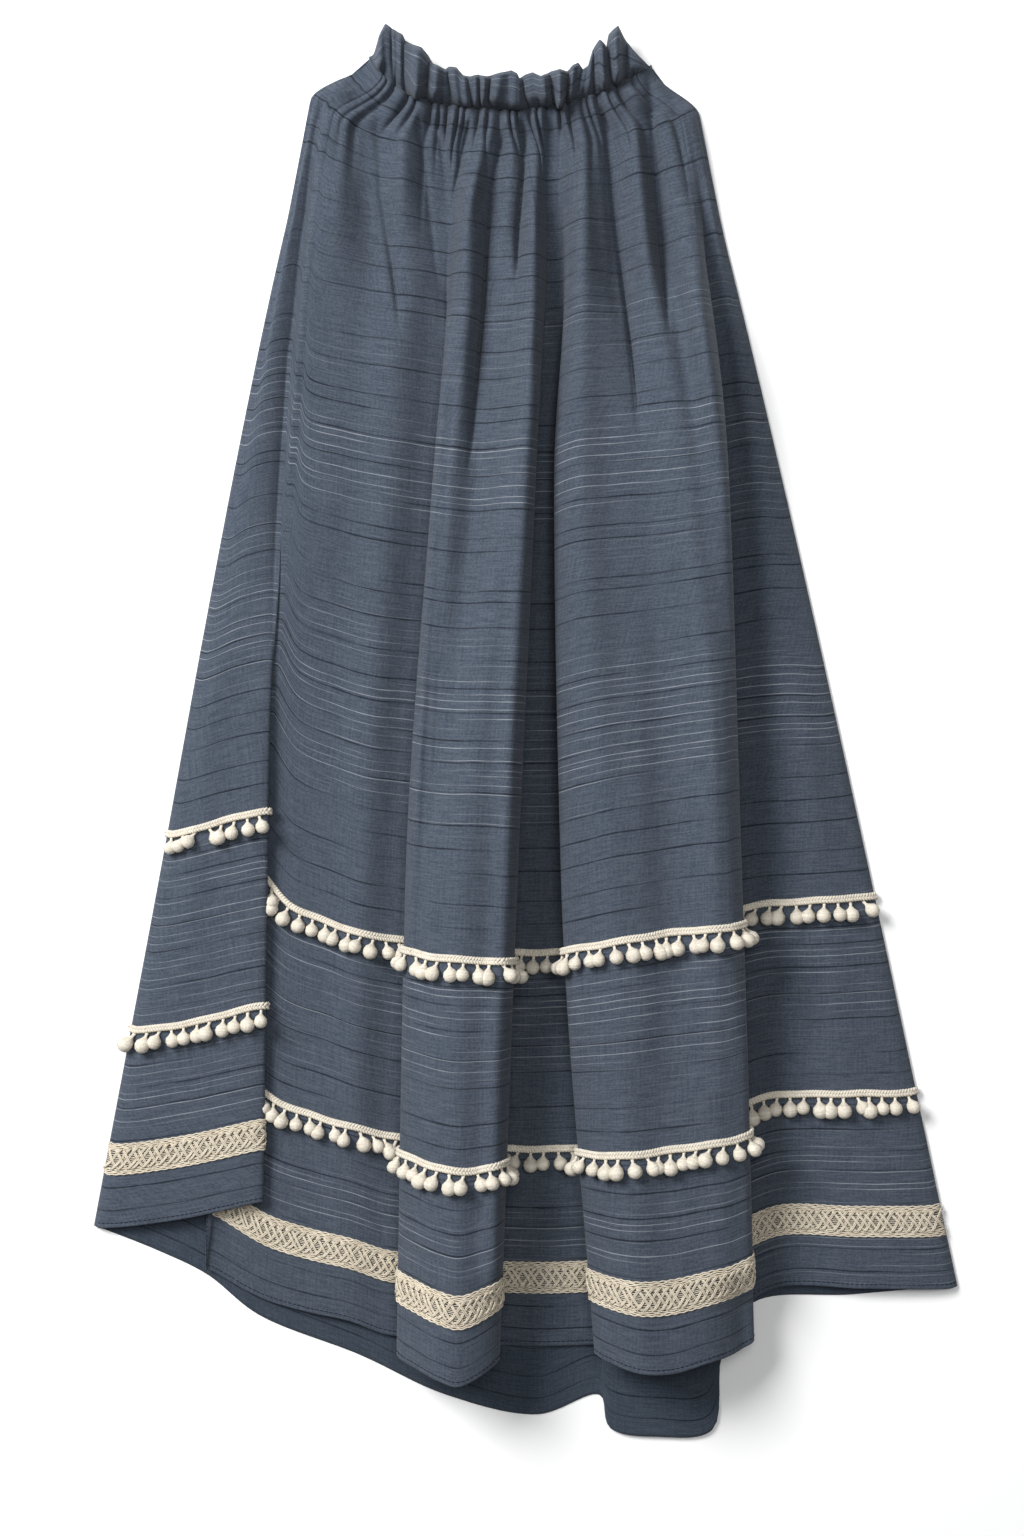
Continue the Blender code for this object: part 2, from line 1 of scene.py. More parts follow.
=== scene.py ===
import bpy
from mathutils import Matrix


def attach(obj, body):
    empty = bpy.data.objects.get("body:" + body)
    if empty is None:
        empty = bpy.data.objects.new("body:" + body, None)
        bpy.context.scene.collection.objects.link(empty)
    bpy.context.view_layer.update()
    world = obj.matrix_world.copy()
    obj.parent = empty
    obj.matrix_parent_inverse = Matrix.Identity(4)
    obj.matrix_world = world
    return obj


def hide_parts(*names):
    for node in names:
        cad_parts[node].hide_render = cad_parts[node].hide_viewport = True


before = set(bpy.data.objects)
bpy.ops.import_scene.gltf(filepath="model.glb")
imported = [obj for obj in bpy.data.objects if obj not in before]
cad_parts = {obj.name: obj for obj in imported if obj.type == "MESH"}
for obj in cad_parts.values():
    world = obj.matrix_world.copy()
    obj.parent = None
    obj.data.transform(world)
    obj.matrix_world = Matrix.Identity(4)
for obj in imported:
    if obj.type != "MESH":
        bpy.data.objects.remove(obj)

"""A long gathered skirt of slubbed slate-blue cotton, laid flat and face up, dressed on its CAD frame.

The cloth follows the fold lines of the CAD model, on a finer grid, with the gathers, creases, hem and sewing
added. Its UV map is in metres: u runs round the skirt and v runs down the cloth, so stripes and stitches
follow the folds. The trims are laid on the cloth's own points. Metres, +Z up, waist towards +Y.
"""

import logging
import math
from dataclasses import dataclass, field
from enum import Enum
from typing import NamedTuple, Sequence

import bmesh
import bpy
import numpy as np
from mathutils import Vector

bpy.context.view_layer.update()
LOG = logging.getLogger("skirt")
MM = 0.001
TINY = 1e-9  # keeps a division from failing on a length of nothing

Array = np.ndarray
Face = tuple[int, ...]
Pair = tuple[float, float]
Colour = tuple[float, float, float]
Scale = tuple[float, float, float]
Waves = tuple[tuple[float, float, float], ...]  # size, radians for each unit and start of sine waves
Piece = bpy.types.Object
Material = bpy.types.Material
Tree = bpy.types.NodeTree
Socket = bpy.types.NodeSocket
Outputs = bpy.types.bpy_prop_collection

FRONT_LENGTH = 0.937
UPPER_TAPE_AT = 0.638
LOWER_TAPE_AT = 0.787
BRAID_AT = 0.885
FLARE_RADIUS = 0.682
WAIST_Y = 0.4675
WAIST_LEFT = -0.118
WAIST_RIGHT = 0.096
CASING_HEIGHT = 0.012

# The photograph's view: the camera stands over one pixel, and one pixel is this wide on the ground
CAMERA_HEIGHT = 2.2
CENTRE_PIXEL = (512.0, 768.0)
CENTRE_PLACE = (-0.0099, -0.0311)
PIXEL = 0.00076


class Turn(Enum):
    """The side towards which the cloth doubles back at a fold line."""

    NONE = "none"
    LEFT = "left"
    RIGHT = "right"


class FoldLine(NamedTuple):
    """One line that runs down the front. Places, heights and lifts in millimetres."""

    name: str
    cells: int
    yoke: float
    hip: float
    thigh: float
    shin: float
    hem: float
    z_hip: float
    z_thigh: float
    z_shin: float
    z_hem: float
    lift_trim: float
    lift_hem: float
    turn: Turn = Turn.NONE


FRONT_LINES = (
    FoldLine("left panel", 2, -151, -174, -199, -226, -261, 8, 10, 12, 12, 78, 76),
    FoldLine("left panel edge", 2, -147, -169, -182, -193, -198, 8, 9, 13, 12.5, 91, 98, Turn.RIGHT),
    FoldLine("tucked edge", 2, -141, -161, -174, -199, -242, 11, 11.5, 7.5, 7, 48, 40, Turn.LEFT),
    FoldLine("second panel", 5, -136, -154, -166, -176, -200, 12, 12, 5, 4.5, 24, 24),
    FoldLine("drag valley", 6, -122, -119, -137, -144, -168, 8, 9, 6, 5.5, 14, 18),
    FoldLine("drag crest", 6, -92, -95, -108, -121, -133, 17, 13, 9, 8, 8, 14),
    FoldLine("run under", 3, -66, -69, -78, -99, -108, 9, 7, 5.5, 5, 6, 6),
    FoldLine("first ridge foot", 3, -60, -61, -52, -70, -79, 9, 7, 6, 6, 4, 2),
    FoldLine("first ridge edge", 5, -55, -56, -69, -89, -96, 20, 32, 36, 34, 2, -3),
    FoldLine("first crest", 5, -43, -41, -57, -75, -79, 31, 50, 54, 54, -1, -10),
    FoldLine("first dip", 6, -29, -22, -37, -62, -64, 18, 38, 62, 66, -2, -15),
    FoldLine("second crest", 5, -10, 8, -8, -41, -49, 32, 56, 67, 70, -2, -18),
    FoldLine("second crest edge", 3, 8, 14, 7, -7, -20, 24, 42, 50, 50, -3, -2),
    FoldLine("second crest foot", 2, 12, 18, 0, -15, -28, 10, 7, 6, 6, -1, 0),
    FoldLine("deep valley", 2, 17, 23, 14, 14, 16, 8, 5.5, 5, 5, 0, 0),
    FoldLine("third ridge foot", 3, 24, 28, 29, 42, 64, 10, 7, 6, 7, 0, 0),
    FoldLine("third ridge edge", 5, 30, 32, 22, 27, 52, 20, 34, 36, 34, 2, 0),
    FoldLine("third crest", 5, 46, 44, 39, 61, 84, 31, 53, 62, 63, 10, -11),
    FoldLine("third dip", 5, 59, 67, 79, 97, 108, 18, 42, 54, 62, 13, -13),
    FoldLine("fourth crest", 3, 74, 89, 117, 137, 137, 30, 55, 62, 56, 14, -8),
    FoldLine("fourth dip", 3, 84, 105, 129, 147, 151, 18, 50, 56, 48, 14, -6),
    FoldLine("fifth crest", 3, 97, 127, 140, 155, 162, 28, 46, 46, 39, 15, -3),
    FoldLine("last ridge edge", 3, 109, 132, 150, 160, 171, 20, 36, 38, 34, 15, 1),
    FoldLine("last ridge foot", 2, 113, 136, 142, 150, 160, 9, 7, 6, 6, 19, 16),
    FoldLine("right panel edge", 4, 116, 140, 160, 176, 190, 8, 7, 6, 6, 23, 33),
    FoldLine("right panel", 3, 119, 144, 173, 209, 258, 9, 12, 12, 11, 21, 24),
)
LEFT_SIDE = FoldLine("left side", 1, -154, -179, -212, -261, -327, 0, 0, 0, 0, 63, 58)
RIGHT_SIDE = FoldLine("right side", 0, 123, 150, 190, 253, 328, 0, 0, 0, 0, 16, 12)


class Crease(NamedTuple):
    """A soft trough or ridge laid on the cloth along pixels of the photograph."""

    path: tuple[Pair, ...]
    width: float  # half its width, in pixels
    depth: float  # in millimetres: above 0 for a ridge, below 0 for a trough
    fades_from: float = 0.55  # the share of its length where it starts to fade out
    above: float = 0.0  # it acts only on cloth that lies higher than this, in millimetres


FRONT_CREASES = (
    Crease(((331, 84), (323, 101), (315, 129), (310, 163), (306, 205), (299, 251), (293, 313), (287, 359),
            (283, 420), (280, 454), (276, 520), (273, 600), (271, 660)), 3.2, -4.0),
    Crease(((338, 84), (330, 105), (322, 140), (315, 205), (304, 300), (294, 400), (288, 480), (284, 560)),
           5, 1.8),
    Crease(((335, 80), (352, 99), (372, 125), (380, 150)), 7, 3.2),
    Crease(((346, 73), (372, 92), (390, 112), (398, 140)), 5, -3.6),
    Crease(((376, 84), (377, 130), (380, 190), (391, 260), (402, 340)), 8, -6.0),
    Crease(((398, 106), (400, 160), (402, 240)), 12, 4.0),
    Crease(((416, 104), (424, 160), (432, 230), (440, 300)), 6, -4.5),
    Crease(((424, 112), (440, 135), (446, 175), (449, 250), (447, 330)), 4, -7.5, 0.75),
    Crease(((470, 114), (462, 150), (452, 200), (447, 267)), 4, -6.0),
    Crease(((494, 118), (480, 160), (466, 220), (461, 310)), 7, 4.5),
    Crease(((506, 120), (495, 170), (487, 235), (482, 310), (474, 400), (468, 480)), 5, -6.5, 0.6),
    Crease(((514, 122), (509, 180), (503, 260)), 6, 3.0),
    Crease(((522, 112), (524, 160), (518, 230), (516, 300)), 4, -7.0),
    Crease(((537, 112), (538, 160), (533, 250), (528, 340)), 8, 4.5),
    Crease(((551, 106), (551, 150), (550, 233), (547, 320), (544, 400)), 5, -9.0, 0.8),
    Crease(((562, 104), (559, 160), (556, 240), (553, 330)), 4, -5.0),
    Crease(((580, 104), (580, 160), (580, 260), (582, 360)), 12, 3.0),
    Crease(((600, 90), (609, 150), (616, 220), (626, 300), (634, 370), (640, 450)), 7, -7.0, 0.5),
    Crease(((596, 96), (600, 150), (605, 220), (612, 300)), 6, 3.5),
    Crease(((632, 80), (637, 150), (645, 230), (653, 320)), 8, 4.5),
    Crease(((648, 72), (652, 110), (658, 190), (664, 280), (670, 350)), 4, -6.5),
    Crease(((668, 80), (677, 120), (690, 200), (701, 270)), 5, -3.5),
    Crease(((352, 88), (360, 108), (366, 140), (362, 190)), 6, -3.0),
    Crease(((543, 250), (537, 330), (530, 450), (520, 600), (511, 750), (506, 900), (498, 1050), (494, 1300)),
           12, 11.0, 0.97, 20.0),
    Crease(((678, 200), (696, 300), (712, 380), (725, 480), (730, 600), (733, 750), (737, 900), (743, 1050),
            (747, 1300)), 12, 11.0, 0.97, 16.0),
    Crease(((448, 330), (438, 450), (430, 560), (423, 680), (417, 800), (410, 950), (404, 1100)),
           5, 4.0, 0.8, 14.0),
    Crease(((459, 330), (449, 450), (442, 560), (438, 680), (433, 800), (428, 920)), 9, -3.2, 0.75, 14.0),
    Crease(((604, 250), (618, 330), (628, 450), (636, 600), (642, 750), (645, 900), (650, 1100)),
           20, 5.5, 0.9, 20.0),
    Crease(((348, 96), (342, 150), (338, 230), (333, 330)), 16, 3.0, 0.5),
    Crease(((364, 110), (366, 160), (370, 230), (378, 300)), 13, -1.8, 0.6),
    Crease(((668, 230), (684, 300), (700, 380), (710, 480), (714, 600), (716, 750), (720, 900), (726, 1050),
            (730, 1300)), 16, 7.0, 0.97, 16.0),
    Crease(((412, 240), (406, 340), (397, 460), (384, 600), (370, 750), (362, 900), (356, 1050), (352, 1200)),
           24, 5.0, 0.85),
    Crease(((340, 130), (350, 240), (345, 380), (330, 520), (322, 680)), 26, 3.5, 0.6),
    Crease(((790, 640), (812, 800), (836, 980), (850, 1120)), 16, 3.0, 0.7),
    Crease(((222, 620), (206, 760), (188, 900), (170, 1060)), 14, 2.5, 0.7),
)

# How far down each small gather runs before it opens out, from left to right, in millimetres
GATHER_LENGTHS = (
    20, 22, 26, 34, 26, 40, 30, 22, 44, 24, 18, 30, 20, 26, 16, 22, 18, 27, 15, 30, 20, 16, 24, 40,
    22, 18, 36, 24, 30, 20, 34, 26, 22, 20, 20, 20,
)
# The heading's upper edge in the photograph, as pixels
HEADING_EDGE = (
    (369, 57), (374, 51), (379, 34), (385, 22), (392, 27), (402, 33), (405, 39), (412, 43), (421, 46),
    (427, 53), (433, 62), (445, 68), (449, 65), (456, 66), (463, 74), (470, 75), (478, 73), (486, 75),
    (494, 73), (503, 71), (511, 69), (517, 72), (519, 77), (526, 73), (533, 71), (541, 75), (551, 70),
    (560, 68), (567, 70), (573, 64), (578, 61), (583, 68), (589, 64), (593, 48), (600, 38), (605, 43),
    (607, 46), (609, 33), (618, 24), (624, 36), (632, 47), (640, 56), (652, 68),
)
# The valleys between the heading's puffs, as pixels across, and how high each puff stands, in millimetres
PUFF_VALLEYS = (369, 391, 403, 430, 447, 466, 479, 492, 522, 549, 570, 583, 594, 607, 626, 652)
PUFF_HEIGHTS = (10, 8, 12, 10, 9, 6, 8, 15, 14, 12, 8, 6, 10, 12, 8)


def ease(value: float | Array, start: float, end: float) -> Array:
    """0 below start, 1 above end, and a smooth step between them."""
    t = np.clip((np.asarray(value, float) - start) / (end - start), 0.0, 1.0)
    return t * t * (3.0 - 2.0 * t)


def waver(at: float | Array, waves: Waves) -> float | Array:
    """The sum of sine waves at a place."""
    return sum(size * np.sin(pace * at + start) for size, pace, start in waves)


def plateau(share: Array, over: float) -> Array:
    """1 along most of a line and 0 at both its ends, smooth over a share of it."""
    return ease(share, 0.0, over) * (1.0 - ease(share, 1.0 - over, 1.0))


def distances(points: Array) -> Array:
    """How far each point lies along the line through all of them."""
    return np.concatenate([[0], np.cumsum(np.linalg.norm(np.diff(points, axis=0), axis=1))])


def hermite(t: float | Array) -> tuple[float | Array, ...]:
    """Weights of a curve's two ends and of its slopes there, at a share of the way."""
    return 2 * t**3 - 3 * t**2 + 1, 3 * t**2 - 2 * t**3, t**3 - 2 * t**2 + t, t**3 - t**2


def through(places: Sequence[float], values: Sequence[float], at: float) -> Array:
    """Reads a smooth curve without overshoot.

    Args:
        places: Rising places of the known values.
        values: The values there, along the last axis.
        at: The place to read.

    Returns:
        The curve's value at that place.
    """
    places = np.asarray(places, float)
    values = np.asarray(values, float)
    gaps = np.diff(places)
    rises = np.diff(values, axis=-1) / gaps
    before, after = rises[..., :-1], rises[..., 1:]
    slopes = np.zeros_like(values)
    same_way = before * after > 0
    total = np.where(same_way, before + after, 1.0)
    slopes[..., 1:-1] = np.where(same_way, 2.0 * before * after / total, 0.0)
    slopes[..., 0] = rises[..., 0]
    slopes[..., -1] = rises[..., -1]
    cell = int(np.clip(np.searchsorted(places, at, side="right") - 1, 0, len(gaps) - 1))
    start, end, leave, arrive = hermite((at - places[cell]) / gaps[cell])
    bend = leave * slopes[..., cell] + arrive * slopes[..., cell + 1]
    return start * values[..., cell] + end * values[..., cell + 1] + gaps[cell] * bend


def curve_through(points: Array, cells: Sequence[int], per_cell: int) -> Array:
    """Makes a round curve through points.

    Args:
        points: The points, one a row.
        cells: How many cells lie between each pair.
        per_cell: How many steps each cell is cut into.

    Returns:
        The points of the curve.
    """
    step = np.sqrt(np.linalg.norm(np.diff(points, axis=0), axis=1)) + TINY
    slopes = np.empty_like(points)
    before = (points[1:-1] - points[:-2]) / step[:-1, None]
    after = (points[2:] - points[1:-1]) / step[1:, None]
    across = (points[2:] - points[:-2]) / (step[:-1] + step[1:])[:, None]
    slopes[1:-1] = before + after - across
    slopes[0] = (points[1] - points[0]) / step[0]
    slopes[-1] = (points[-1] - points[-2]) / step[-1]
    out = []
    for i, count in enumerate(cells):
        t = (np.arange(count * per_cell) / (count * per_cell))[:, None]
        start, end, leave, arrive = hermite(t)
        bend = leave * slopes[i] + arrive * slopes[i + 1]
        out.append(start * points[i] + end * points[i + 1] + step[i] * bend)
    out.append(points[-1:])
    return np.concatenate(out)


@dataclass
class FoldForm:
    """The form of the front's cloth: a point for every column and distance down.

    The lines and sizes are those of the CAD model. The casing and the heading above it are other pieces.
    """

    per_cell: int = 3
    stations: tuple[float, ...] = (0.0, 0.110, 0.285, 0.581, FRONT_LENGTH)
    lift_stations: tuple[float, ...] = (0.0, 0.285, 0.600, FRONT_LENGTH)
    lift_at_thigh: float = 0.5
    double_from: float = 0.44
    double_to: float = 0.62
    layer_radius: float = 0.0025
    side_rounding_top: float = 0.0025
    side_rounding: float = 0.006
    side_rounding_full_at: float = 0.30
    side_round_height: float = 0.0065
    side_height: float = 0.0018
    waist_height: float = 0.009
    drawn_in_over: float = 0.038
    shoulder_over: float = 0.125
    shoulder_left: float = 0.030
    shoulder_right: float = 0.027
    shoulder_turn_left: int = 5  # the higher, the closer to the side the waist starts to climb
    shoulder_turn_right: int = 2
    shoulder_columns: float = 15.0
    shoulder_roundness: float = 0.6
    shoulder_opens: Pair = (0.02, 0.11)
    side_cell_at_waist: float = 0.0009
    gather_cells: float = 3.1
    gather_depth: float = 0.0108
    gather_spread: float = 1.35
    gather_waver: Waves = ((0.20, 0.83, 0.6), (0.14, 0.31, 2.1))
    gather_uneven: Waves = ((0.35, 2.3, 1.0),)
    gather_roundness: float = 0.6
    gather_level: float = 0.5  # the share of a gather's depth that lies below the cloth's own level
    gather_swell: tuple[float, float, float] = (0.75, 0.55, 0.012)  # at the waist, gained, and how soon
    gathers_start: float = 9.0  # columns in from each side
    gathers_full: float = 17.0
    pinch_depth: float = 0.0030
    pinch_over: float = 0.006
    tuck_lift: float = 0.055
    tuck_from: float = 0.83
    tuck_columns: tuple[float, float, float, float] = (6.4, 8.0, 9.35, 10.0)
    above_blend: float = 8.0
    least_room: float = 0.0002  # troughs flatten out towards the side height, and never reach it
    crease_starts_over: float = 0.12
    crease_uneven: Pair = (0.18, 11.0)  # size and radians along its length
    slit_width: float = 2.3  # the narrow bottom of the deep troughs, in pixels
    slit_share: float = 1.5
    slit_depths: Pair = (3.0, 6.0)  # how deep a trough starts to have a slit, and has it whole
    trough_width: float = 2.0
    trough_depth: float = 2.1
    trough_power: float = 1.25  # under 2 for a valley with a sharp bottom
    creases: tuple[Crease, ...] = FRONT_CREASES

    def __post_init__(self) -> None:
        """Works out the cells and the places of the columns at the waist."""
        cells = [LEFT_SIDE.cells, 2]
        for line in FRONT_LINES:
            cells += [line.cells] if line.turn is Turn.NONE else [1, 1, line.cells]
        self.cells: list[int] = cells + [1]
        names = [line.name for line in FRONT_LINES]
        first, last = names.index("second panel"), names.index("last ridge edge")
        turned = sum(line.turn is not Turn.NONE for line in FRONT_LINES[:first])
        start, end = 2 + first + 2 * turned, 2 + last + 2 * turned
        at = np.concatenate([[0], np.cumsum(self.cells)])
        width = WAIST_RIGHT - WAIST_LEFT
        sides = self.side_cell_at_waist * (at[start] + at[-1] - at[end])
        even = (width - sides) / (at[end] - at[start])
        inside = (at[:-1] >= at[start]) & (at[:-1] < at[end])
        sizes = np.where(inside, even, self.side_cell_at_waist)
        self.waist_places: Array = WAIST_LEFT + np.concatenate([[0], np.cumsum(sizes * self.cells)])
        self.columns: int = int(at[-1])

    def shoulder(self, share: Array) -> Array:
        """How far the waist climbs towards its ends, at shares of its width.

        Args:
            share: Shares of the waist's width.

        Returns:
            How far it climbs there.
        """
        side = 2.0 * share - 1.0
        left = self.shoulder_left * np.clip(-side, 0, 1) ** self.shoulder_turn_left
        return left + self.shoulder_right * np.clip(side, 0, 1) ** self.shoulder_turn_right

    def waist_line(self, share: Array) -> tuple[Array, Array]:
        """The line that the gathers are sewn along, as x and y."""
        x = WAIST_LEFT + share * (WAIST_RIGHT - WAIST_LEFT)
        return x, WAIST_Y + x * x / (2 * FLARE_RADIUS) + self.shoulder(share)

    def line_at(self, line: FoldLine, v: float) -> tuple[float, float, float]:
        """Place, height and lift of a fold line at a distance down the cloth.

        Args:
            line: The fold line.
            v: The distance down the cloth.

        Returns:
            Its place, its height and its lift.
        """
        place = through(self.stations, (line.yoke, line.hip, line.thigh, line.shin, line.hem), v)
        waist = self.waist_height / MM
        height = through(self.stations, (waist, line.z_hip, line.z_thigh, line.z_shin, line.z_hem), v)
        lifts = (0.0, self.lift_at_thigh * line.lift_trim, line.lift_trim, line.lift_hem)
        return place * MM, height * MM, through(self.lift_stations, lifts, v) * MM

    def doubled(self, x: float, z: float, turn: Turn, amount: float) -> list[Pair]:
        """Three points at a fold edge: level where amount is 0, a half turn down where it is 1.

        Args:
            x: The edge's place.
            z: The edge's height.
            turn: The side towards which the cloth doubles back.
            amount: How far it is doubled.

        Returns:
            Place and height of each point.
        """
        radius = self.layer_radius
        drop = amount * radius
        if turn is Turn.RIGHT:
            return [(x - radius, z + drop), (x, z), (x + (1 - 2 * amount) * radius, z - drop)]
        return [(x + (2 * amount - 1) * radius, z + drop), (x, z), (x + radius, z - drop)]

    def controls(self, v: float) -> Array:
        """The control points of the row at a distance down the cloth.

        Args:
            v: The distance down the cloth.

        Returns:
            One point for every line, and two more where the cloth doubles back.
        """
        amount = float(ease(v, self.double_from, self.double_to))
        widened = float(ease(v, 0.0, self.side_rounding_full_at))
        rounding = self.side_rounding_top + widened * (self.side_rounding - self.side_rounding_top)
        x, _, lift = self.line_at(LEFT_SIDE, v)
        found = [(x, self.side_height, lift), (x + rounding, self.side_round_height, lift)]
        for line in FRONT_LINES:
            x, z, lift = self.line_at(line, v)
            if line.turn is Turn.NONE:
                found.append((x, z, lift))
            else:
                found += [(a, b, lift) for a, b in self.doubled(x, z, line.turn, amount)]
        x, _, lift = self.line_at(RIGHT_SIDE, v)
        found += [(x - rounding, self.side_round_height, lift), (x, self.side_height, lift)]
        x, z, lift = np.array(found).T
        share = (self.waist_places - WAIST_LEFT) / (WAIST_RIGHT - WAIST_LEFT)
        x = x + (1.0 - float(ease(v, 0.0, self.drawn_in_over))) * (self.waist_places - x)
        lift = lift + self.shoulder(share) * (1.0 - float(ease(v, 0.0, self.shoulder_over)))
        return np.stack([x, WAIST_Y - v + x * x / (2.0 * (FLARE_RADIUS + v)) + lift, z], axis=1)

    def row(self, v: float) -> Array:
        """The middle of the cloth along one row.

        Args:
            v: The distance down the cloth.

        Returns:
            The points of the row, from left to right.
        """
        row = curve_through(self.controls(v), self.cells, self.per_cell)
        column = np.arange(len(row)) / self.per_cell
        row[:, 1] += self.tuck_lift * float(ease(v, self.tuck_from, FRONT_LENGTH)) * self.tuck(column)
        row[:, 2] = self.shoulders(row[:, 2], column, v) + self.gathers(column, v)
        pixels = self.pixels(row)
        moved = sum(self.crease_height(crease, pixels, row[:, 2]) for crease in self.creases)
        room = np.maximum(row[:, 2] - self.side_height, self.least_room)
        row[:, 2] = self.side_height + np.where(moved > 0, room + moved, room * np.exp(moved / room))
        return row

    def tuck(self, column: Array) -> Array:
        """How much of the hidden layer of the left fold is hitched up, so that its hem stays out of sight."""
        start, full, fades, end = self.tuck_columns
        return ease(column, start, full) * (1.0 - ease(column, fades, end))

    def shoulders(self, height: Array, column: Array, v: float) -> Array:
        """Rounds off the lines that are drawn together at both ends of the waist.

        Args:
            height: Heights along the row.
            column: The column of each height.
            v: The distance down the cloth.

        Returns:
            The rounded heights.
        """
        last, reach = column[-1], self.shoulder_columns
        opened = float(ease(v, *self.shoulder_opens))
        domed = height
        for from_side, inner in ((column, reach), (last - column, last - reach)):
            arch = np.sin(math.pi / 2 * np.clip(from_side / reach, 0, 1)) ** self.shoulder_roundness
            dome = self.side_height + (np.interp(inner, column, height) - self.side_height) * arch
            domed = np.where(from_side < reach, dome, domed)
        return domed + opened * (height - domed)

    def gathers(self, column: Array, v: float) -> Array:
        """Heights of the small gathers: round tubes with sharp valleys, pinched in at the waist.

        Args:
            column: Columns along the row.
            v: The distance down the cloth.

        Returns:
            A height to add at each column.
        """
        from_end = np.minimum(column, column[-1] - column)
        inside = ease(from_end, self.gathers_start, self.gathers_full)
        turn = column / self.gather_cells + waver(column, self.gather_waver)
        which = np.clip(np.floor(turn + 0.5).astype(int), 0, len(GATHER_LENGTHS) - 1)
        length = np.array(GATHER_LENGTHS)[which] * MM * self.gather_spread
        tube = np.abs(np.cos(math.pi * turn)) ** self.gather_roundness - self.gather_level
        uneven = 1.0 + waver(which, self.gather_uneven)
        pinch = self.pinch_depth * math.exp(-((v / self.pinch_over) ** 2))
        at_waist, gained, over = self.gather_swell
        swell = at_waist + gained * float(ease(v, 0.0, over))
        return inside * (self.gather_depth * swell * uneven * np.exp(-((v / length) ** 2)) * tube - pinch)

    def pixels(self, points: Array) -> Array:
        """Where points appear in the photograph.

        Args:
            points: The points.

        Returns:
            One (x, y) in pixels a point.
        """
        nearer = CAMERA_HEIGHT / (CAMERA_HEIGHT - points[:, 2]) / PIXEL
        x = CENTRE_PIXEL[0] + (points[:, 0] - CENTRE_PLACE[0]) * nearer
        y = CENTRE_PIXEL[1] - (points[:, 1] - CENTRE_PLACE[1]) * nearer
        return np.stack([x, y], axis=1)

    def crease_height(self, crease: Crease, pixels: Array, height: Array) -> Array:
        """How far a crease moves each point of a row up or down.

        Args:
            crease: The crease.
            pixels: Where the points appear in the photograph.
            height: The points' heights.

        Returns:
            A height to add to each point.
        """
        path = np.array(crease.path, float)
        runs = distances(path)
        best = np.full(len(pixels), np.inf)
        place = np.zeros(len(pixels))
        for k in range(len(path) - 1):
            step = path[k + 1] - path[k]
            length = runs[k + 1] - runs[k]
            t = np.clip((pixels - path[k]) @ step / length**2, 0.0, 1.0)
            away = np.linalg.norm(pixels - path[k] - t[:, None] * step, axis=1)
            closer = away < best
            best = np.where(closer, away, best)
            place = np.where(closer, (runs[k] + t * length) / runs[-1], place)
        ends = ease(place, 0.0, self.crease_starts_over) * (1.0 - ease(place, crease.fades_from, 1.0))
        if crease.above > 0:
            ends = ends * ease(height, crease.above * MM, (crease.above + self.above_blend) * MM)
        size, pace = self.crease_uneven
        depth = crease.depth * MM * ends * (1.0 + size * np.sin(pace * place + path[0, 0]))
        if crease.depth > 0:
            return depth * np.exp(-((best / crease.width) ** 2))
        sharp = np.exp(-((best / (self.trough_width * crease.width)) ** self.trough_power))
        slit = self.slit_share * ease(-crease.depth, *self.slit_depths)
        return self.trough_depth * depth * (sharp + slit * np.exp(-((best / self.slit_width) ** 2)))

    def surface(self, rows: Sequence[float]) -> Array:
        """The cloth as rows of points."""
        return np.array([self.row(v) for v in rows])

    def along(self, points: Array) -> Array:
        """Distance along a row, 0 in its middle column."""
        at = distances(points)
        return at - at[len(at) // 2]


def deselect() -> None:
    """Leaves nothing selected and nothing active."""
    for obj in bpy.context.selected_objects:
        obj.select_set(False)
    bpy.context.view_layer.objects.active = None


def mesh_piece(name: str, points: Array, faces: list[Face], uvs: Array) -> Piece:
    """Makes a piece from points and faces.

    Args:
        name: The piece's name.
        points: One vertex a row.
        faces: Corner indices of each face.
        uvs: One (u, v) in metres a vertex.

    Returns:
        The new object, at the origin.
    """
    mesh = bpy.data.meshes.new(name)
    mesh.from_pydata([tuple(map(float, p)) for p in points], [], faces)
    layer = mesh.uv_layers.new(name="cloth")
    corners = np.empty(len(mesh.loops), np.int32)
    mesh.loops.foreach_get("vertex_index", corners)
    layer.data.foreach_set("uv", np.asarray(uvs, np.float32)[corners].ravel())
    mesh.shade_smooth()
    mesh.update()
    made = bpy.data.objects.new(name, mesh)
    bpy.context.scene.collection.objects.link(made)
    return made


def walled_sheet(name: str, grid: Array, uv: Array, thickness: float) -> Piece:
    """Makes a sheet with a wall, half of it to each side.

    Args:
        name: The piece's name.
        grid: Its points, in rows that run down and columns to the right.
        uv: One (u, v) in metres a point.
        thickness: How thick its wall is.

    Returns:
        The new object, facing up.
    """
    rows, columns = grid.shape[:2]
    corners = (i * columns + j for i in range(rows - 1) for j in range(columns - 1))
    faces = [(at + columns, at + columns + 1, at + 1, at) for at in corners]
    piece = mesh_piece(name, grid.reshape(-1, 3), faces, uv.reshape(-1, 2))
    deselect()
    wall = piece.modifiers.new("wall", "SOLIDIFY")
    wall.thickness = thickness
    wall.offset = 0.0
    wall.use_quality_normals = True
    piece.select_set(True)
    bpy.context.view_layer.objects.active = piece
    bpy.ops.object.modifier_apply(modifier=wall.name)
    deselect()
    return piece


def normals_of(grid: Array) -> Array:
    """Unit normals of a grid of points, on the side that faces up.

    Args:
        grid: The points, in rows and columns.

    Returns:
        One unit normal a point.
    """
    across = np.gradient(grid, axis=1)
    down = np.gradient(grid, axis=0)
    found = np.cross(down, across)
    return found / np.maximum(np.linalg.norm(found, axis=2, keepdims=True), TINY)


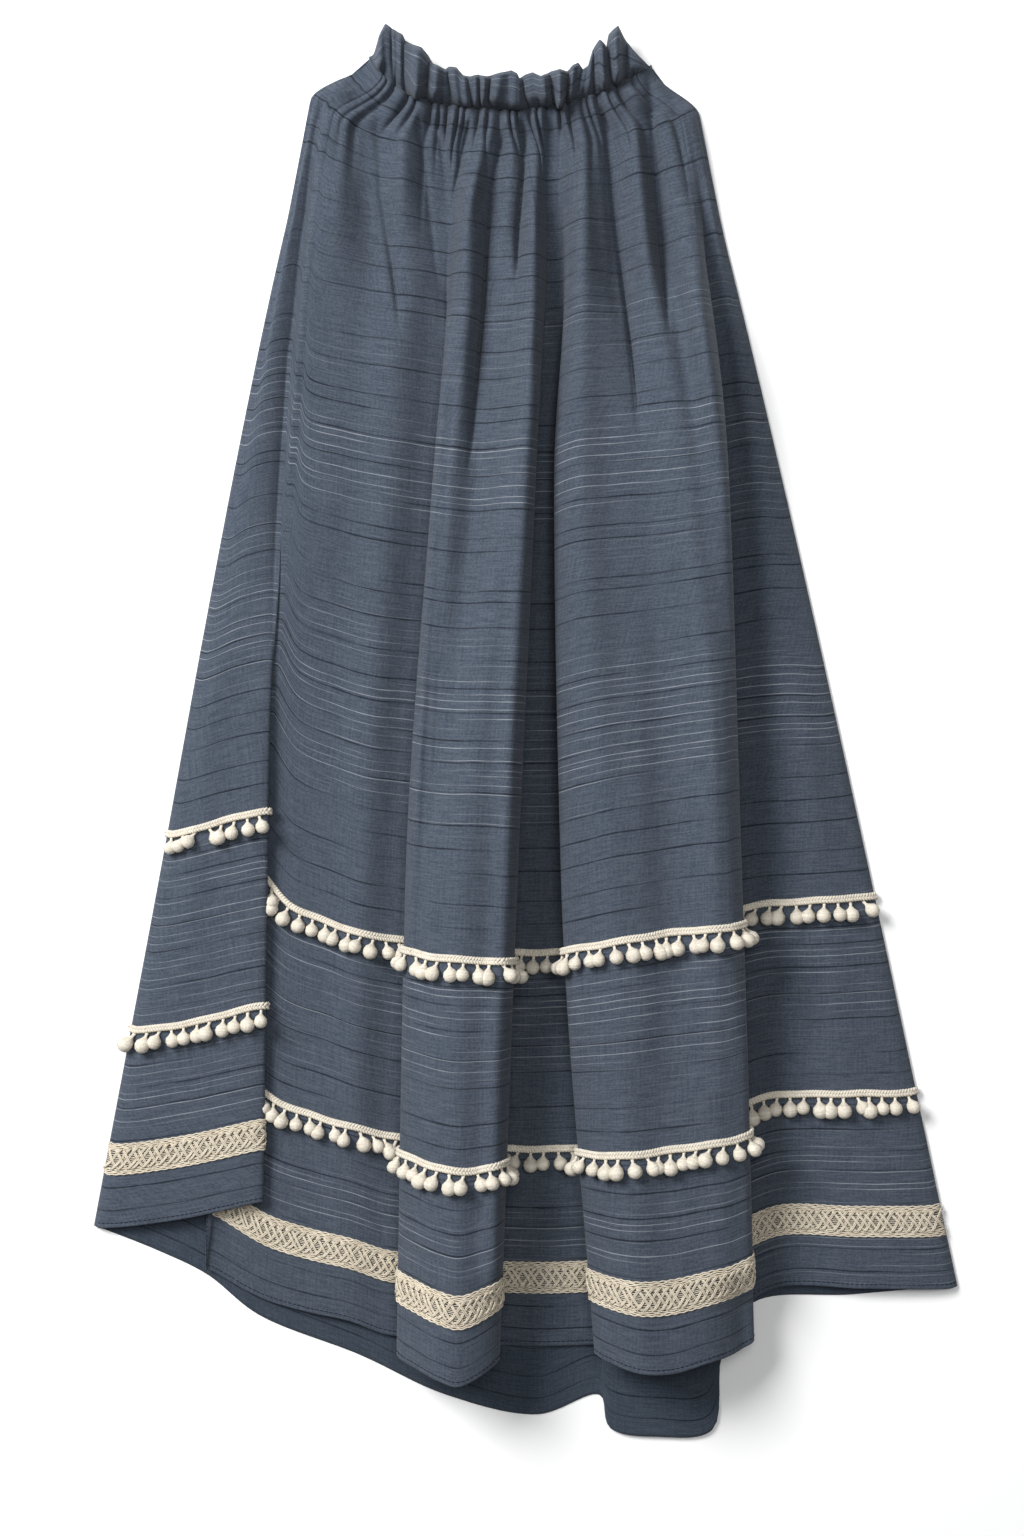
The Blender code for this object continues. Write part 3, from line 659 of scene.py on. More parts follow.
@dataclass
class FrontCloth:
    """The front: one cloth from the casing to the hem."""

    form: FoldForm
    wall: float = 0.0008
    runs: tuple[tuple[float, int], ...] = ((0.0, 20), (0.060, 24), (0.200, 84))  # start and rows of each
    hem_rows: tuple[float, ...] = (0.008, 0.0045, 0.0035, 0.0025, 0.0012, 0.0)  # distances from the edge

    def rows(self) -> Array:
        """Distances down the cloth, closest together near the waist and the hem.

        Returns:
            The distances.
        """
        ends = [start for start, _ in self.runs[1:]] + [FRONT_LENGTH - self.hem_rows[0]]
        runs = zip(self.runs, ends)
        found = [np.linspace(start, end, count, endpoint=False) for (start, count), end in runs]
        return np.concatenate([*found, FRONT_LENGTH - np.array(self.hem_rows)])

    def build(self) -> Piece:
        """Makes the front cloth.

        Returns:
            The piece.
        """
        rows = self.rows()
        grid = self.form.surface(rows)
        u = np.array([self.form.along(row) for row in grid])
        v = np.repeat(rows[:, None], grid.shape[1], axis=1)
        return walled_sheet("front_cloth", grid, np.stack([u, v], axis=2), self.wall)


@dataclass
class Heading:
    """The elastic casing and the gathered heading above it, in uneven puffs."""

    form: FoldForm
    bands: int = 28
    wall: float = 0.0008
    height: float = 0.04  # as it lies, for the reach of the pinch
    flat_height: float = 0.05  # as flat cloth, for the UV map
    fullness: float = 2.2  # flat cloth for each metre of the waist
    ends_over: float = 0.05
    gathers: int = 26
    per_gather: int = 12
    gather_depth: float = 0.0070
    gather_roundness: float = 0.75
    gather_level: float = 0.45  # the share of a gather's depth that lies below the cloth's own level
    gather_waver: Waves = ((0.22, 21.0, 0.0), (0.15, 47.0, 1.0))
    gathers_lost: float = 0.93  # how much of the gathers the puffs take up
    pinch_depth: float = 0.0035
    pinch_over: float = 0.005
    rise: float = 0.010
    round_from: float = 0.85
    round_over: float = 0.006
    opens: Pair = (0.08, 0.42)  # shares of the way up where the puffs start and are full
    puff_scale: float = 1.15
    puff_roundness: float = 0.55  # the lower, the broader the tops of the puffs
    puff_fold: float = 0.34
    puff_turn: float = 1.9  # radians by which a puff's fold differs from that of the puff before it
    puff_at_edge: float = 0.6  # how much of the puffs the upper edge's height counts
    puff_falls: Pair = (0.3, 0.6)  # the share it loses towards the edge, and where that starts
    valley_slant: Waves = ((10.0, 23.0, 0.4),)  # how far the valleys between puffs slant, in pixels
    tallest: float = 0.017  # a puff this high leans over by all of the overhang
    overhang: float = 0.009
    hang_ends: float = 0.8  # share of the way up
    hang_uneven: Waves = ((0.5, 37.0, 1.3),)
    turned_down: float = 0.007  # how far the lower edge turns down behind the front cloth

    def edge(self, share: Array, height: Array) -> tuple[Array, Array]:
        """Where the upper edge stands, from its pixels in the photograph.

        Args:
            share: Shares of the waist's width.
            height: How high the edge stands there.

        Returns:
            The edge's x and its y.
        """
        table = np.array(HEADING_EDGE, float)
        across = table[0, 0] + share * (table[-1, 0] - table[0, 0])
        down = np.interp(across, table[:, 0], table[:, 1])
        nearer = PIXEL * (CAMERA_HEIGHT - height) / CAMERA_HEIGHT
        x = CENTRE_PLACE[0] + (across - CENTRE_PIXEL[0]) * nearer
        y = CENTRE_PLACE[1] - (down - CENTRE_PIXEL[1]) * nearer
        return x, y

    def puffs(self, share: Array, up: float) -> Array:
        """How high the puffs stand at a share of the way up: round, with sharp slanting valleys.

        Args:
            share: Shares of the waist's width.
            up: The share of the way up.

        Returns:
            A height for each share.
        """
        valleys = np.array(PUFF_VALLEYS, float)
        slant = (up - 1.0) * waver(share, self.valley_slant) * np.sin(math.pi * share)
        across = valleys[0] + share * (valleys[-1] - valleys[0]) + slant
        which = np.clip(np.searchsorted(valleys, across, side="right") - 1, 0, len(PUFF_HEIGHTS) - 1)
        part = np.clip((across - valleys[which]) / (valleys[which + 1] - valleys[which]), 0, 1)
        arch = np.sin(math.pi * part)
        fold = self.puff_fold * np.sin(2.0 * math.pi * part + self.puff_turn * which) * arch
        heights = np.array(PUFF_HEIGHTS)[which] * MM * self.puff_scale
        return heights * (arch**self.puff_roundness + fold)

    def build(self) -> Piece:
        """Makes the casing and the heading as one cloth.

        Returns:
            The piece.
        """
        share = np.linspace(0.0, 1.0, self.per_gather * self.gathers + 1)
        x, y = self.form.waist_line(share)
        end = plateau(share, self.ends_over)
        base = self.form.side_height + (self.form.waist_height - self.form.side_height) * end
        turn = self.gathers * share + waver(share, self.gather_waver)
        tube = np.abs(np.cos(math.pi * turn)) ** self.gather_roundness - self.gather_level
        stands = base + self.rise * np.sin(math.pi * share)
        edge_x, edge_y = self.edge(share, stands + self.puff_at_edge * self.puffs(share, 1.0))
        lost, falls_from = self.puff_falls
        rows, uvs = [], []
        for up in np.arange(self.bands + 1) / self.bands:
            puffs = end * self.puffs(share, up)
            opened = float(ease(up, *self.opens))
            pinch = self.pinch_depth * math.exp(-((up * self.height / self.pinch_over) ** 2))
            small = self.gather_depth * end * tube * (1.0 - self.gathers_lost * opened)
            bulge = opened * (1.0 - lost * float(ease(up, falls_from, 1.0)))
            height = base + (stands - base) * up + small + puffs * bulge - pinch * end
            height = height - self.round_over * float(ease(up, self.round_from, 1.0))
            hangs = puffs / self.tallest * math.sin(math.pi * min(1.0, up / self.hang_ends))
            down = self.overhang * hangs * (1.0 + waver(share, self.hang_uneven))
            rows.append(np.stack([x + (edge_x - x) * up, y + (edge_y - y) * up - down, height], axis=1))
            uvs.append(np.stack([x * self.fullness, -self.flat_height * up + 0 * x], axis=1))
        rows.insert(0, rows[0] - np.stack([0 * x, 0 * x, self.turned_down * end], axis=1))
        uvs.insert(0, uvs[0] + np.array([0.0, self.turned_down]))
        grid = np.array(rows[::-1])
        grid[:, :, 2] = np.maximum(grid[:, :, 2], self.form.side_height)
        return walled_sheet("waist_heading_front", grid, np.array(uvs[::-1]), self.wall)


class BackLine(NamedTuple):
    """One line that runs down the back. Shares are of its width, drops and heights in millimetres."""

    cells: int
    share: float
    share_hem: float
    drop_hem: float
    z_hem: float = 0.5


BACK_LINES = (
    BackLine(2, 0.000, 0.000, 0),
    BackLine(2, 0.070, 0.071, -15),
    BackLine(2, 0.130, 0.130, -31),
    BackLine(2, 0.190, 0.190, -59),
    BackLine(2, 0.300, 0.307, -84),
    BackLine(2, 0.400, 0.408, -110),
    BackLine(2, 0.500, 0.514, -120),
    BackLine(1, 0.580, 0.586, -102),
    BackLine(2, 0.620, 0.598, -126, 3.0),
    BackLine(2, 0.650, 0.655, -130, 3.4),
    BackLine(1, 0.680, 0.716, -122, 3.0),
    BackLine(2, 0.700, 0.728, -64),
    BackLine(2, 0.760, 0.763, -24),
    BackLine(2, 0.880, 0.880, -12),
    BackLine(0, 1.000, 1.000, 0),
)


@dataclass
class BackCloth:
    """The back, flat on the ground, with its inside showing below the front's hem."""

    form: FoldForm
    per_cell: int = 6
    wall: float = 0.001
    waist_drop: float = 0.017
    waist_bow: float = 0.7
    pleat_opens: Pair = (0.70, 0.86)
    even_to: float = 0.98
    even_rows: int = 60
    hem_rows: tuple[float, ...] = (0.985, 0.99, 0.994, 0.997, 1.0)
    heading_reach: float = 0.013
    least_reach: float = 0.002
    waves: int = 14
    per_wave: int = 12
    wave_height: float = 0.0022
    waves_end_over: float = 0.06
    reach_ends_over: float = 0.14
    bands: int = 8
    fullness: float = 2.2  # flat cloth for each metre of the waist
    flat_height: float = 0.04

    def row(self, down: float) -> Array:
        """The middle of the cloth along one row, at a share of the way down.

        Args:
            down: The share of the way down.

        Returns:
            The points of the row, from left to right.
        """
        v = down * FRONT_LENGTH
        left, right = self.form.controls(v)[[0, -1]]
        spread = float(ease(down, *self.pleat_opens))
        found = []
        for line in BACK_LINES:
            share = line.share + spread * (line.share_hem - line.share)
            z = self.wall / 2 + spread * (line.z_hem * MM - self.wall / 2)
            x, y = left[:2] + share * (right[:2] - left[:2])
            bow = math.sin(math.pi * share) ** self.waist_bow
            top = -(self.waist_drop + self.form.shoulder_left) * bow * (1 - down)
            found.append((x, y + top + line.drop_hem * MM * float(ease(down, 0.0, 1.0)), z))
        row = curve_through(np.array(found), [line.cells for line in BACK_LINES[:-1]], self.per_cell)
        row[:, 2] = np.maximum(row[:, 2], self.wall / 2)
        return row

    def build(self) -> Piece:
        """Makes the back cloth with its hem.

        Returns:
            The piece.
        """
        downs = np.concatenate([np.linspace(0.0, self.even_to, self.even_rows), self.hem_rows])
        grid = np.array([self.row(down) for down in downs])
        u = np.array([self.form.along(row) for row in grid])
        v = np.repeat(downs[:, None] * FRONT_LENGTH, grid.shape[1], axis=1)
        return walled_sheet("back_cloth", grid, np.stack([u, v], axis=2), self.wall)

    def build_heading(self) -> Piece:
        """Makes the back's casing and heading.

        Returns:
            The piece.
        """
        share = np.linspace(0.0, 1.0, self.per_wave * self.waves + 1)
        top = self.row(0.0)
        at = distances(top[:, :2])
        x, y = (np.interp(share, at / at[-1], top[:, axis]) for axis in range(2))
        wave = (0.5 - 0.5 * np.cos(2 * math.pi * self.waves * share)) * plateau(share, self.waves_end_over)
        reach = (CASING_HEIGHT - self.least_reach + self.heading_reach) * plateau(share, self.reach_ends_over)
        rows, uvs = [], []
        for up in np.arange(self.bands + 1) / self.bands:
            z = self.wall / 2 + self.wave_height * wave * up
            rows.append(np.stack([x, y + up * (self.least_reach + reach), z], axis=1))
            uvs.append(np.stack([x * self.fullness, -self.flat_height * up + 0 * x], axis=1))
        return walled_sheet("waist_heading_back", np.array(rows[::-1]), np.array(uvs[::-1]), self.wall)


class Cords:
    """Closed round cords that make up one piece."""

    def __init__(self) -> None:
        """Starts without a cord."""
        self.points: list[Array] = []
        self.faces: list[Face] = []
        self.uvs: list[Array] = []

    def add(self, path: Array, radius: float, sides: int) -> None:
        """Adds a cord along a path, with its UV map in metres along and round it.

        Args:
            path: The points of its middle line.
            radius: Its radius.
            sides: How many sides it has.
        """
        first = sum(len(block) for block in self.points)
        last = first + (len(path) - 1) * sides
        ahead = np.gradient(path, axis=0)
        ahead /= np.maximum(np.linalg.norm(ahead, axis=1, keepdims=True), TINY)
        aside = np.cross(ahead, (0.0, 0.0, 1.0))
        aside /= np.maximum(np.linalg.norm(aside, axis=1, keepdims=True), TINY)
        over = np.cross(aside, ahead)
        angle = 2 * math.pi * np.arange(sides) / sides
        ring = np.cos(angle)[None, :, None] * aside[:, None] + np.sin(angle)[None, :, None] * over[:, None]
        self.points.append((path[:, None] + radius * ring).reshape(-1, 3))
        round_it = np.tile(np.arange(sides) * radius, len(path))
        self.uvs.append(np.stack([np.repeat(distances(path), sides), round_it], axis=1))
        for start in range(first, last, sides):
            for side in range(sides):
                a, b = start + side, start + (side + 1) % sides
                self.faces.append((a, a + sides, b + sides, b))
        self.faces.append(tuple(range(first, first + sides)))
        self.faces.append(tuple(range(last, last + sides))[::-1])

    def piece(self, name: str) -> Piece:
        """Makes the piece."""
        return mesh_piece(name, np.concatenate(self.points), self.faces, np.concatenate(self.uvs))


class Band:
    """A narrow band of the front's cloth, read at any distance along and across it."""

    def __init__(self, form: FoldForm, at: float, half: float, rows: int) -> None:
        """Reads the cloth and its normals round a distance down.

        Args:
            form: The form of the front's cloth.
            at: The band's middle, as a distance down.
            half: Half the band's width.
            rows: How many rows of the cloth it reads.
        """
        self.levels = np.linspace(at - half, at + half, rows)
        self.grid = form.surface(self.levels)
        self.outward = normals_of(self.grid)
        self.middle = form.along(self.grid[rows // 2])

    def read(self, u: Array, v: Array, rise: Array) -> Array:
        """Points at distances along and down, at a height off the cloth.

        Args:
            u: Distances along the band.
            v: Distances down the cloth.
            rise: Heights off the cloth.

        Returns:
            One point for each distance.
        """
        last = len(self.levels) - 1
        row = np.clip((v - self.levels[0]) / (self.levels[-1] - self.levels[0]) * last, 0, last)
        i = np.minimum(np.floor(row).astype(int), last - 1)
        t = (row - i)[:, None]
        j = np.clip(np.searchsorted(self.middle, u, side="right") - 1, 0, len(self.middle) - 2)
        w = ((u - self.middle[j]) / (self.middle[j + 1] - self.middle[j]))[:, None]
        out = []
        for source in (self.grid, self.outward):
            upper = source[i, j] * (1 - w) + source[i, j + 1] * w
            lower = source[i + 1, j] * (1 - w) + source[i + 1, j + 1] * w
            out.append(upper * (1 - t) + lower * t)
        return out[0] + out[1] * np.asarray(rise)[:, None]


@dataclass
class PlaitedTape:
    """A narrow tape of three plaited strands, sewn round the front."""

    form: FoldForm
    name: str
    at: float
    half: float = 0.0025
    strand: float = 0.00122
    pitch: float = 0.0066
    clearance: float = 0.0005
    strands: int = 3
    swing: float = 0.8  # how far a strand swings, as a share of the half width
    rise: Pair = (1.3, 0.55)  # middle and swing of its height, in its radii
    wander: Waves = ((0.00045, 61.0, 0.0), (0.0003, 173.0, 0.0))
    steps: int = 10
    sides: int = 5
    band_half: float = 0.004
    band_rows: int = 5

    def build(self) -> Piece:
        """Makes the tape.

        Returns:
            The piece.
        """
        band = Band(self.form, self.at, self.band_half, self.band_rows)
        u = np.arange(band.middle[0], band.middle[-1], self.pitch / self.steps)
        middle, lift = self.rise
        cords = Cords()
        for strand in range(self.strands):
            phase = 2 * math.pi * (u / self.pitch + strand / self.strands)
            v = self.at + self.half * self.swing * np.sin(phase) + waver(u, self.wander)
            rise = self.clearance + self.strand * (middle + lift * np.sin(2 * phase))
            cords.add(band.read(u, v, rise), self.strand, self.sides)
        return cords.piece(self.name)


# One bobble from its stalk to its end: share of its length and share of its radius at each ring
BOBBLE_RINGS = (
    (-0.04, 0.0), (0.02, 0.26), (0.18, 0.20), (0.29, 0.44), (0.42, 0.88), (0.62, 1.03), (0.82, 0.90),
    (0.95, 0.52), (1.0, 0.0),
)


@dataclass
class Pompoms:
    """The row of teardrop bobbles that hang from a tape."""

    form: FoldForm
    name: str
    at: float
    seed: int
    pitch: float = 0.0099
    radius: float = 0.0055
    length: float = 0.0150
    sides: int = 8
    pole: float = 1e-6  # a point of the ball this close to its axis is a pole
    tape_half: float = 0.0025
    uneven: float = 0.10
    swing: float = 0.22
    root_rise: float = 0.0012
    rise_over: float = 0.55  # share of its length over which it comes clear of the cloth
    starts: float = 0.6  # where the first one hangs, and how far from the end the last one may, in pitches
    stops: float = 0.4
    hidden: Pair = (6.2, 11.0)  # columns inside the left fold

    def model(self) -> tuple[Array, list[Face]]:
        """Models one bobble from a ball: a thin stalk that swells into a round end.

        Returns:
            Its points, as (aside, outward, distance down), and its faces.
        """
        deselect()
        last = len(BOBBLE_RINGS) - 1
        bpy.ops.mesh.primitive_uv_sphere_add(segments=self.sides, ring_count=last, radius=1.0)
        ball = bpy.context.object
        bpy.ops.object.mode_set(mode="EDIT")
        shaped = bmesh.from_edit_mesh(ball.data)
        for vertex in shaped.verts:
            reach, radius = BOBBLE_RINGS[round(math.acos(max(-1.0, min(1.0, vertex.co.z))) / math.pi * last)]
            flat = math.hypot(vertex.co.x, vertex.co.y)
            wide = self.radius * radius / flat if flat > self.pole else 0.0
            vertex.co = Vector((vertex.co.x * wide, vertex.co.y * wide, self.length * reach))
        bmesh.update_edit_mesh(ball.data)
        bpy.ops.object.mode_set(mode="OBJECT")
        points = np.array([tuple(vertex.co) for vertex in ball.data.vertices])
        faces = [tuple(face.vertices) for face in ball.data.polygons]
        bpy.data.objects.remove(ball)
        return points, faces

    def build(self) -> Piece:
        """Makes all the bobbles of the row as one piece, from copies of the model.

        Returns:
            The piece.
        """
        rng = np.random.default_rng(self.seed)
        model, model_faces = self.model()
        edge = self.at + self.tape_half
        row, below = self.form.row(edge), self.form.row(edge + self.length)
        along = distances(row)
        points, faces, uvs = [], [], []
        at = self.starts * self.pitch
        while at < along[-1] - self.stops * self.pitch:
            column = np.interp(at, along, np.arange(len(row))) / self.form.per_cell
            if not self.hidden[0] < column < self.hidden[1]:
                first = len(points) * len(model)
                faces += [tuple(first + corner for corner in face) for face in model_faces]
                points.append(self.place(model, at, along, row, below, rng))
                uvs.append(np.stack([at + model[:, 0], model[:, 2]], axis=1))
            at += self.pitch * (1.0 + self.uneven * rng.uniform(-1, 1))
        return mesh_piece(self.name, np.concatenate(points), faces, np.concatenate(uvs))

    def place(
        self, model: Array, at: float, along: Array, row: Array, below: Array, rng: np.random.Generator
    ) -> Array:
        """Places a copy of the bobble.

        Args:
            model: The bobble's points.
            at: Its distance along the tape.
            along: The distance of each point of the row.
            row: The cloth at the tape's lower edge.
            below: The cloth where the bobbles end.
            rng: Gives its swing and size.

        Returns:
            The copy's points.
        """
        root, lower, before, after = (
            np.array([np.interp(at + shift, along, source[:, axis]) for axis in range(3)])
            for shift, source in ((0, row), (0, below), (-self.radius, row), (self.radius, row))
        )
        down = (lower - root) / np.linalg.norm(lower - root)
        outward = np.cross(down, after - before)
        outward /= max(float(np.linalg.norm(outward)), TINY)
        aside = np.cross(outward, down)
        swing = rng.normal(0.0, self.swing)
        down = down * math.cos(swing) + aside * math.sin(swing)
        aside = np.cross(outward, down)
        size = 1.0 + self.uneven * rng.uniform(-1, 1)
        clear = ease(model[:, 2], 0.0, self.rise_over * self.length)
        rise = self.root_rise + (self.radius * size - self.root_rise) * clear
        x, y, z = (model * size).T[:, :, None]
        return root + x * aside + (y + rise[:, None]) * outward + z * down


@dataclass
class LatticeBraid:
    """The wide braid near the hem: corded borders with a criss-cross lattice between them."""

    form: FoldForm
    at: float = BRAID_AT
    half: float = 0.0118
    borders: tuple[float, ...] = (0.97, 0.86, 0.75, 0.64)
    cord: float = 0.00068
    cord_step: float = 0.0016
    cord_wave: float = 0.00028
    cord_stretch: float = 0.5  # how much longer the waves of every second cord are
    cord_rise: Pair = (1.0, 0.25)  # middle and swing of its height, in its radii
    filling: tuple[float, ...] = (0.56, 0.43, 0.30, 0.17, 0.05)
    thin: float = 0.6  # radius of a filling cord, as a share of a border cord's
    lift: float = 0.0005
    end_gap: float = 0.0005
    strand: float = 0.00066
    strand_rise: Pair = (1.6, 0.9)
    under_border: float = 0.02  # how far the lattice runs on under the last border cord
    pitch: float = 0.0062
    twin: float = 0.0012
    bend: float = 0.2  # 0 for straight strands
    loose: Waves = ((0.0009, 2.7, 0.0), (0.0005, 0.9, 0.0))
    steps: int = 8
    sides: int = 5
    thin_sides: int = 4
    band_half: float = 0.01239
    band_rows: int = 13

    def build(self) -> Piece:
        """Makes the braid as one piece of crossing and bordering cords.

        Returns:
            The piece.
        """
        band = Band(self.form, self.at, self.band_half, self.band_rows)
        start, end = band.middle[0] + self.end_gap, band.middle[-1] - self.end_gap
        cords = Cords()
        for side in (-1, 1):
            self.add_border(cords, band, side, np.arange(start, end, self.cord_step))
        inner = self.half * (self.borders[-1] + self.under_border)
        t = np.linspace(-1, 1, self.steps)
        middle_rise, swing = self.strand_rise
        for count, middle in enumerate(np.arange(start + self.pitch, end - self.pitch, self.pitch)):
            for lean in (-1, 1):
                reach = lean * self.pitch * ((1.0 - self.bend) * t + self.bend * t**3)
                rise = self.lift + self.strand * (middle_rise + swing * lean * np.cos(math.pi * t))
                for twin in (-0.5, 0.5):
                    across = middle + waver(count, self.loose) + reach + twin * self.twin
                    path = band.read(np.clip(across, start, end), self.at + inner * t, rise)
                    cords.add(path, self.strand, self.sides)
        return cords.piece("hem_lattice_braid")

    def add_border(self, cords: Cords, band: Band, side: int, u: Array) -> None:
        """Adds the border and filling cords of one side of the braid.

        Args:
            cords: The braid's cords so far.
            band: The cloth under the braid.
            side: -1 for its upper side, 1 for its lower side.
            u: Distances along the braid.
        """
        middle, swing = self.cord_rise
        for k, share in enumerate(self.borders):
            pitch = self.pitch * (1 + self.cord_stretch * (k % 2))
            wave = self.cord_wave * np.sin(2 * math.pi * u / pitch + k)
            rise = self.lift + self.cord * (middle + swing * np.sin(2 * math.pi * u / self.pitch + 2 * k))
            path = band.read(u, self.at + side * self.half * share + wave, rise)
            cords.add(path, self.cord, self.sides)
        radius = self.thin * self.cord
        for share in self.filling:
            path = band.read(u, self.at + side * self.half * share + 0 * u, self.lift + radius + 0 * u)
            cords.add(path, radius, self.thin_sides)


@dataclass
class HemStitches:
    """A row of short stitches that holds the turned hem."""

    form: FoldForm
    name: str = "hem_stitches"
    from_edge: float = 0.0034
    length: float = 0.0026
    pitch: float = 0.0036
    thread: float = 0.00026
    path: tuple[Pair, ...] = (  # share of a stitch's length, and height there
        (0.0, 0.0003), (0.15, 0.0006), (0.85, 0.0006), (1.0, 0.0003),
    )
    sides: int = 4
    band_half: float = 0.0012
    band_rows: int = 3

    def build(self) -> Piece:
        """Makes the row of stitches as one piece.

        Returns:
            The piece.
        """
        at = FRONT_LENGTH - self.from_edge
        band = Band(self.form, at, self.band_half, self.band_rows)
        share, rise = np.array(self.path).T
        cords = Cords()
        for start in np.arange(band.middle[0] + self.pitch, band.middle[-1] - self.pitch, self.pitch):
            path = band.read(start + self.length * share, np.full(len(share), at), rise)
            cords.add(path, self.thread, self.sides)
        return cords.piece(self.name)


# Where the light weft threads lie close together, as distances down the cloth
LIGHT_THREAD_BANDS = ((0.247, 0.309), (0.439, 0.515), (0.655, 0.713), (0.84, 0.855))
BUMP_HEIGHT = 0.0006


class Nodes:
    """Adds nodes to one tree and links them by name."""

    def __init__(self, tree: Tree) -> None:
        """Keeps the tree."""
        self.tree = tree

    def add(self, kind: str, **settings: object) -> bpy.types.Node:
        """Adds a node and sets its properties.

        Args:
            kind: Blender's name for its type.
            settings: Its properties.

        Returns:
            The node.
        """
        node = self.tree.nodes.new(kind)
        for key, value in settings.items():
            setattr(node, key, value)
        return node

    def link(self, out: Socket, into: Socket) -> None:
        """Joins two sockets."""
        self.tree.links.new(out, into)

    def put(self, value: object, into: Socket) -> None:
        """Links a socket, or sets a constant.

        Args:
            value: A socket or a constant.
            into: The input that takes it.
        """
        if isinstance(value, Socket):
            self.link(value, into)
        else:
            into.default_value = value

    def math(self, operation: str, a: object, b: object = 0.0, clamp: bool = False) -> Socket:
        """One sum on two values.

        Args:
            operation: Blender's name for the sum.
            a: The first value, or its socket.
            b: The second value, or its socket.
            clamp: Whether the result stays from 0 to 1.

        Returns:
            The result's socket.
        """
        node = self.add("ShaderNodeMath", operation=operation, use_clamp=clamp)
        self.put(a, node.inputs[0])
        self.put(b, node.inputs[1])
        return node.outputs[0]

    def total(self, values: Sequence[Socket]) -> Socket:
        """The sum of values.

        Args:
            values: The values' sockets.

        Returns:
            The sum's socket.
        """
        found = values[0]
        for value in values[1:]:
            found = self.math("ADD", found, value)
        return found

    def noise(self, vector: Socket, scale: Scale, detail: float) -> Socket:
        """Soft noise, from 0 to 1.

        Args:
            vector: The place on the cloth.
            scale: Grains to the metre each way.
            detail: How much finer noise is laid over it.

        Returns:
            The noise's socket.
        """
        place = self.add("ShaderNodeMapping")
        self.link(vector, place.inputs["Vector"])
        place.inputs["Scale"].default_value = scale
        node = self.add("ShaderNodeTexNoise")
        self.link(place.outputs[0], node.inputs["Vector"])
        for label, value in (("Scale", 1.0), ("Detail", detail), ("Roughness", 0.5)):
            node.inputs[label].default_value = value
        return node.outputs["Fac"]

    def split(self, vector: Socket) -> Outputs:
        """The X, Y and Z of a vector.

        Args:
            vector: The vector's socket.

        Returns:
            The three sockets, by name.
        """
        parts = self.add("ShaderNodeSeparateXYZ")
        self.link(vector, parts.inputs[0])
        return parts.outputs

    def group(self, tree: Tree, vector: Socket, **values: float) -> Outputs:
        """Places a group with its own values.

        Args:
            tree: The group.
            vector: The place on the cloth.
            values: The group's other values.

        Returns:
            The group's outputs, by name.
        """
        node = self.add("ShaderNodeGroup", node_tree=tree)
        self.link(vector, node.inputs["Vector"])
        for label, value in values.items():
            node.inputs[label].default_value = value
        return node.outputs

    def steps(self, value: object, low: object, high: object) -> Socket:
        """0 below low and 1 above high, smooth between them.

        Args:
            value: What is read.
            low: Where the step starts.
            high: Where the step ends.

        Returns:
            The result's socket.
        """
        node = self.add("ShaderNodeMapRange", interpolation_type="SMOOTHSTEP")
        self.put(value, node.inputs["Value"])
        self.put(low, node.inputs["From Min"])
        self.put(high, node.inputs["From Max"])
        return node.outputs[0]

    def mixed(self, amount: object, a: object, b: object) -> Socket:
        """One colour over another.

        Args:
            amount: 0 for the first colour, 1 for the second.
            a: The first colour.
            b: The second colour.

        Returns:
            The colour's socket.
        """
        node = self.add("ShaderNodeMix", data_type="RGBA")
        self.put(amount, node.inputs[0])
        self.put(a, node.inputs[6])
        self.put(b, node.inputs[7])
        return node.outputs[2]


def new_group(
    name: str, inputs: Sequence[tuple[str, str, float]], outputs: Sequence[tuple[str, str]]
) -> tuple[Tree, Nodes, bpy.types.Node, bpy.types.Node]:
    """Starts a node group with named sockets.

    Args:
        name: The group's name.
        inputs: Name, socket type and first value of each input.
        outputs: Name and socket type of each output.

    Returns:
        The group, its node helper, its input node and its output node.
    """
    tree = bpy.data.node_groups.new(name, "ShaderNodeTree")
    for label, kind, value in inputs:
        socket = tree.interface.new_socket(name=label, in_out="INPUT", socket_type=kind)
        if kind == "NodeSocketFloat":
            socket.default_value = value
    for label, kind in outputs:
        tree.interface.new_socket(name=label, in_out="OUTPUT", socket_type=kind)
    nodes = Nodes(tree)
    return tree, nodes, nodes.add("NodeGroupInput"), nodes.add("NodeGroupOutput")


@dataclass(frozen=True)
class PlainWeave:
    """Fine uneven threads both ways: a plain weave of slubbed yarn."""

    # Weft, warp and specks: grains to the metre each way, detail, and share of the tone
    layers: tuple[tuple[Scale, float, float], ...] = (
        ((55.0, 900.0, 1.0), 2.0, 0.40),
        ((800.0, 40.0, 1.0), 2.0, 0.22),
        ((520.0, 620.0, 1.0), 3.0, 0.38),
    )

    def make(self) -> Tree:
        """Builds the group.

        Returns:
            The group.
        """
        tree, n, given, out = new_group(
            "plain weave",
            [("Vector", "NodeSocketVector", 0.0)],
            [("Tone", "NodeSocketFloat"), ("Height", "NodeSocketFloat")],
        )
        place = given.outputs["Vector"]
        tone = n.total(
            [n.math("MULTIPLY", n.noise(place, scale, detail), share) for scale, detail, share in self.layers]
        )
        n.link(tone, out.inputs["Tone"])
        n.link(tone, out.inputs["Height"])
        return tree


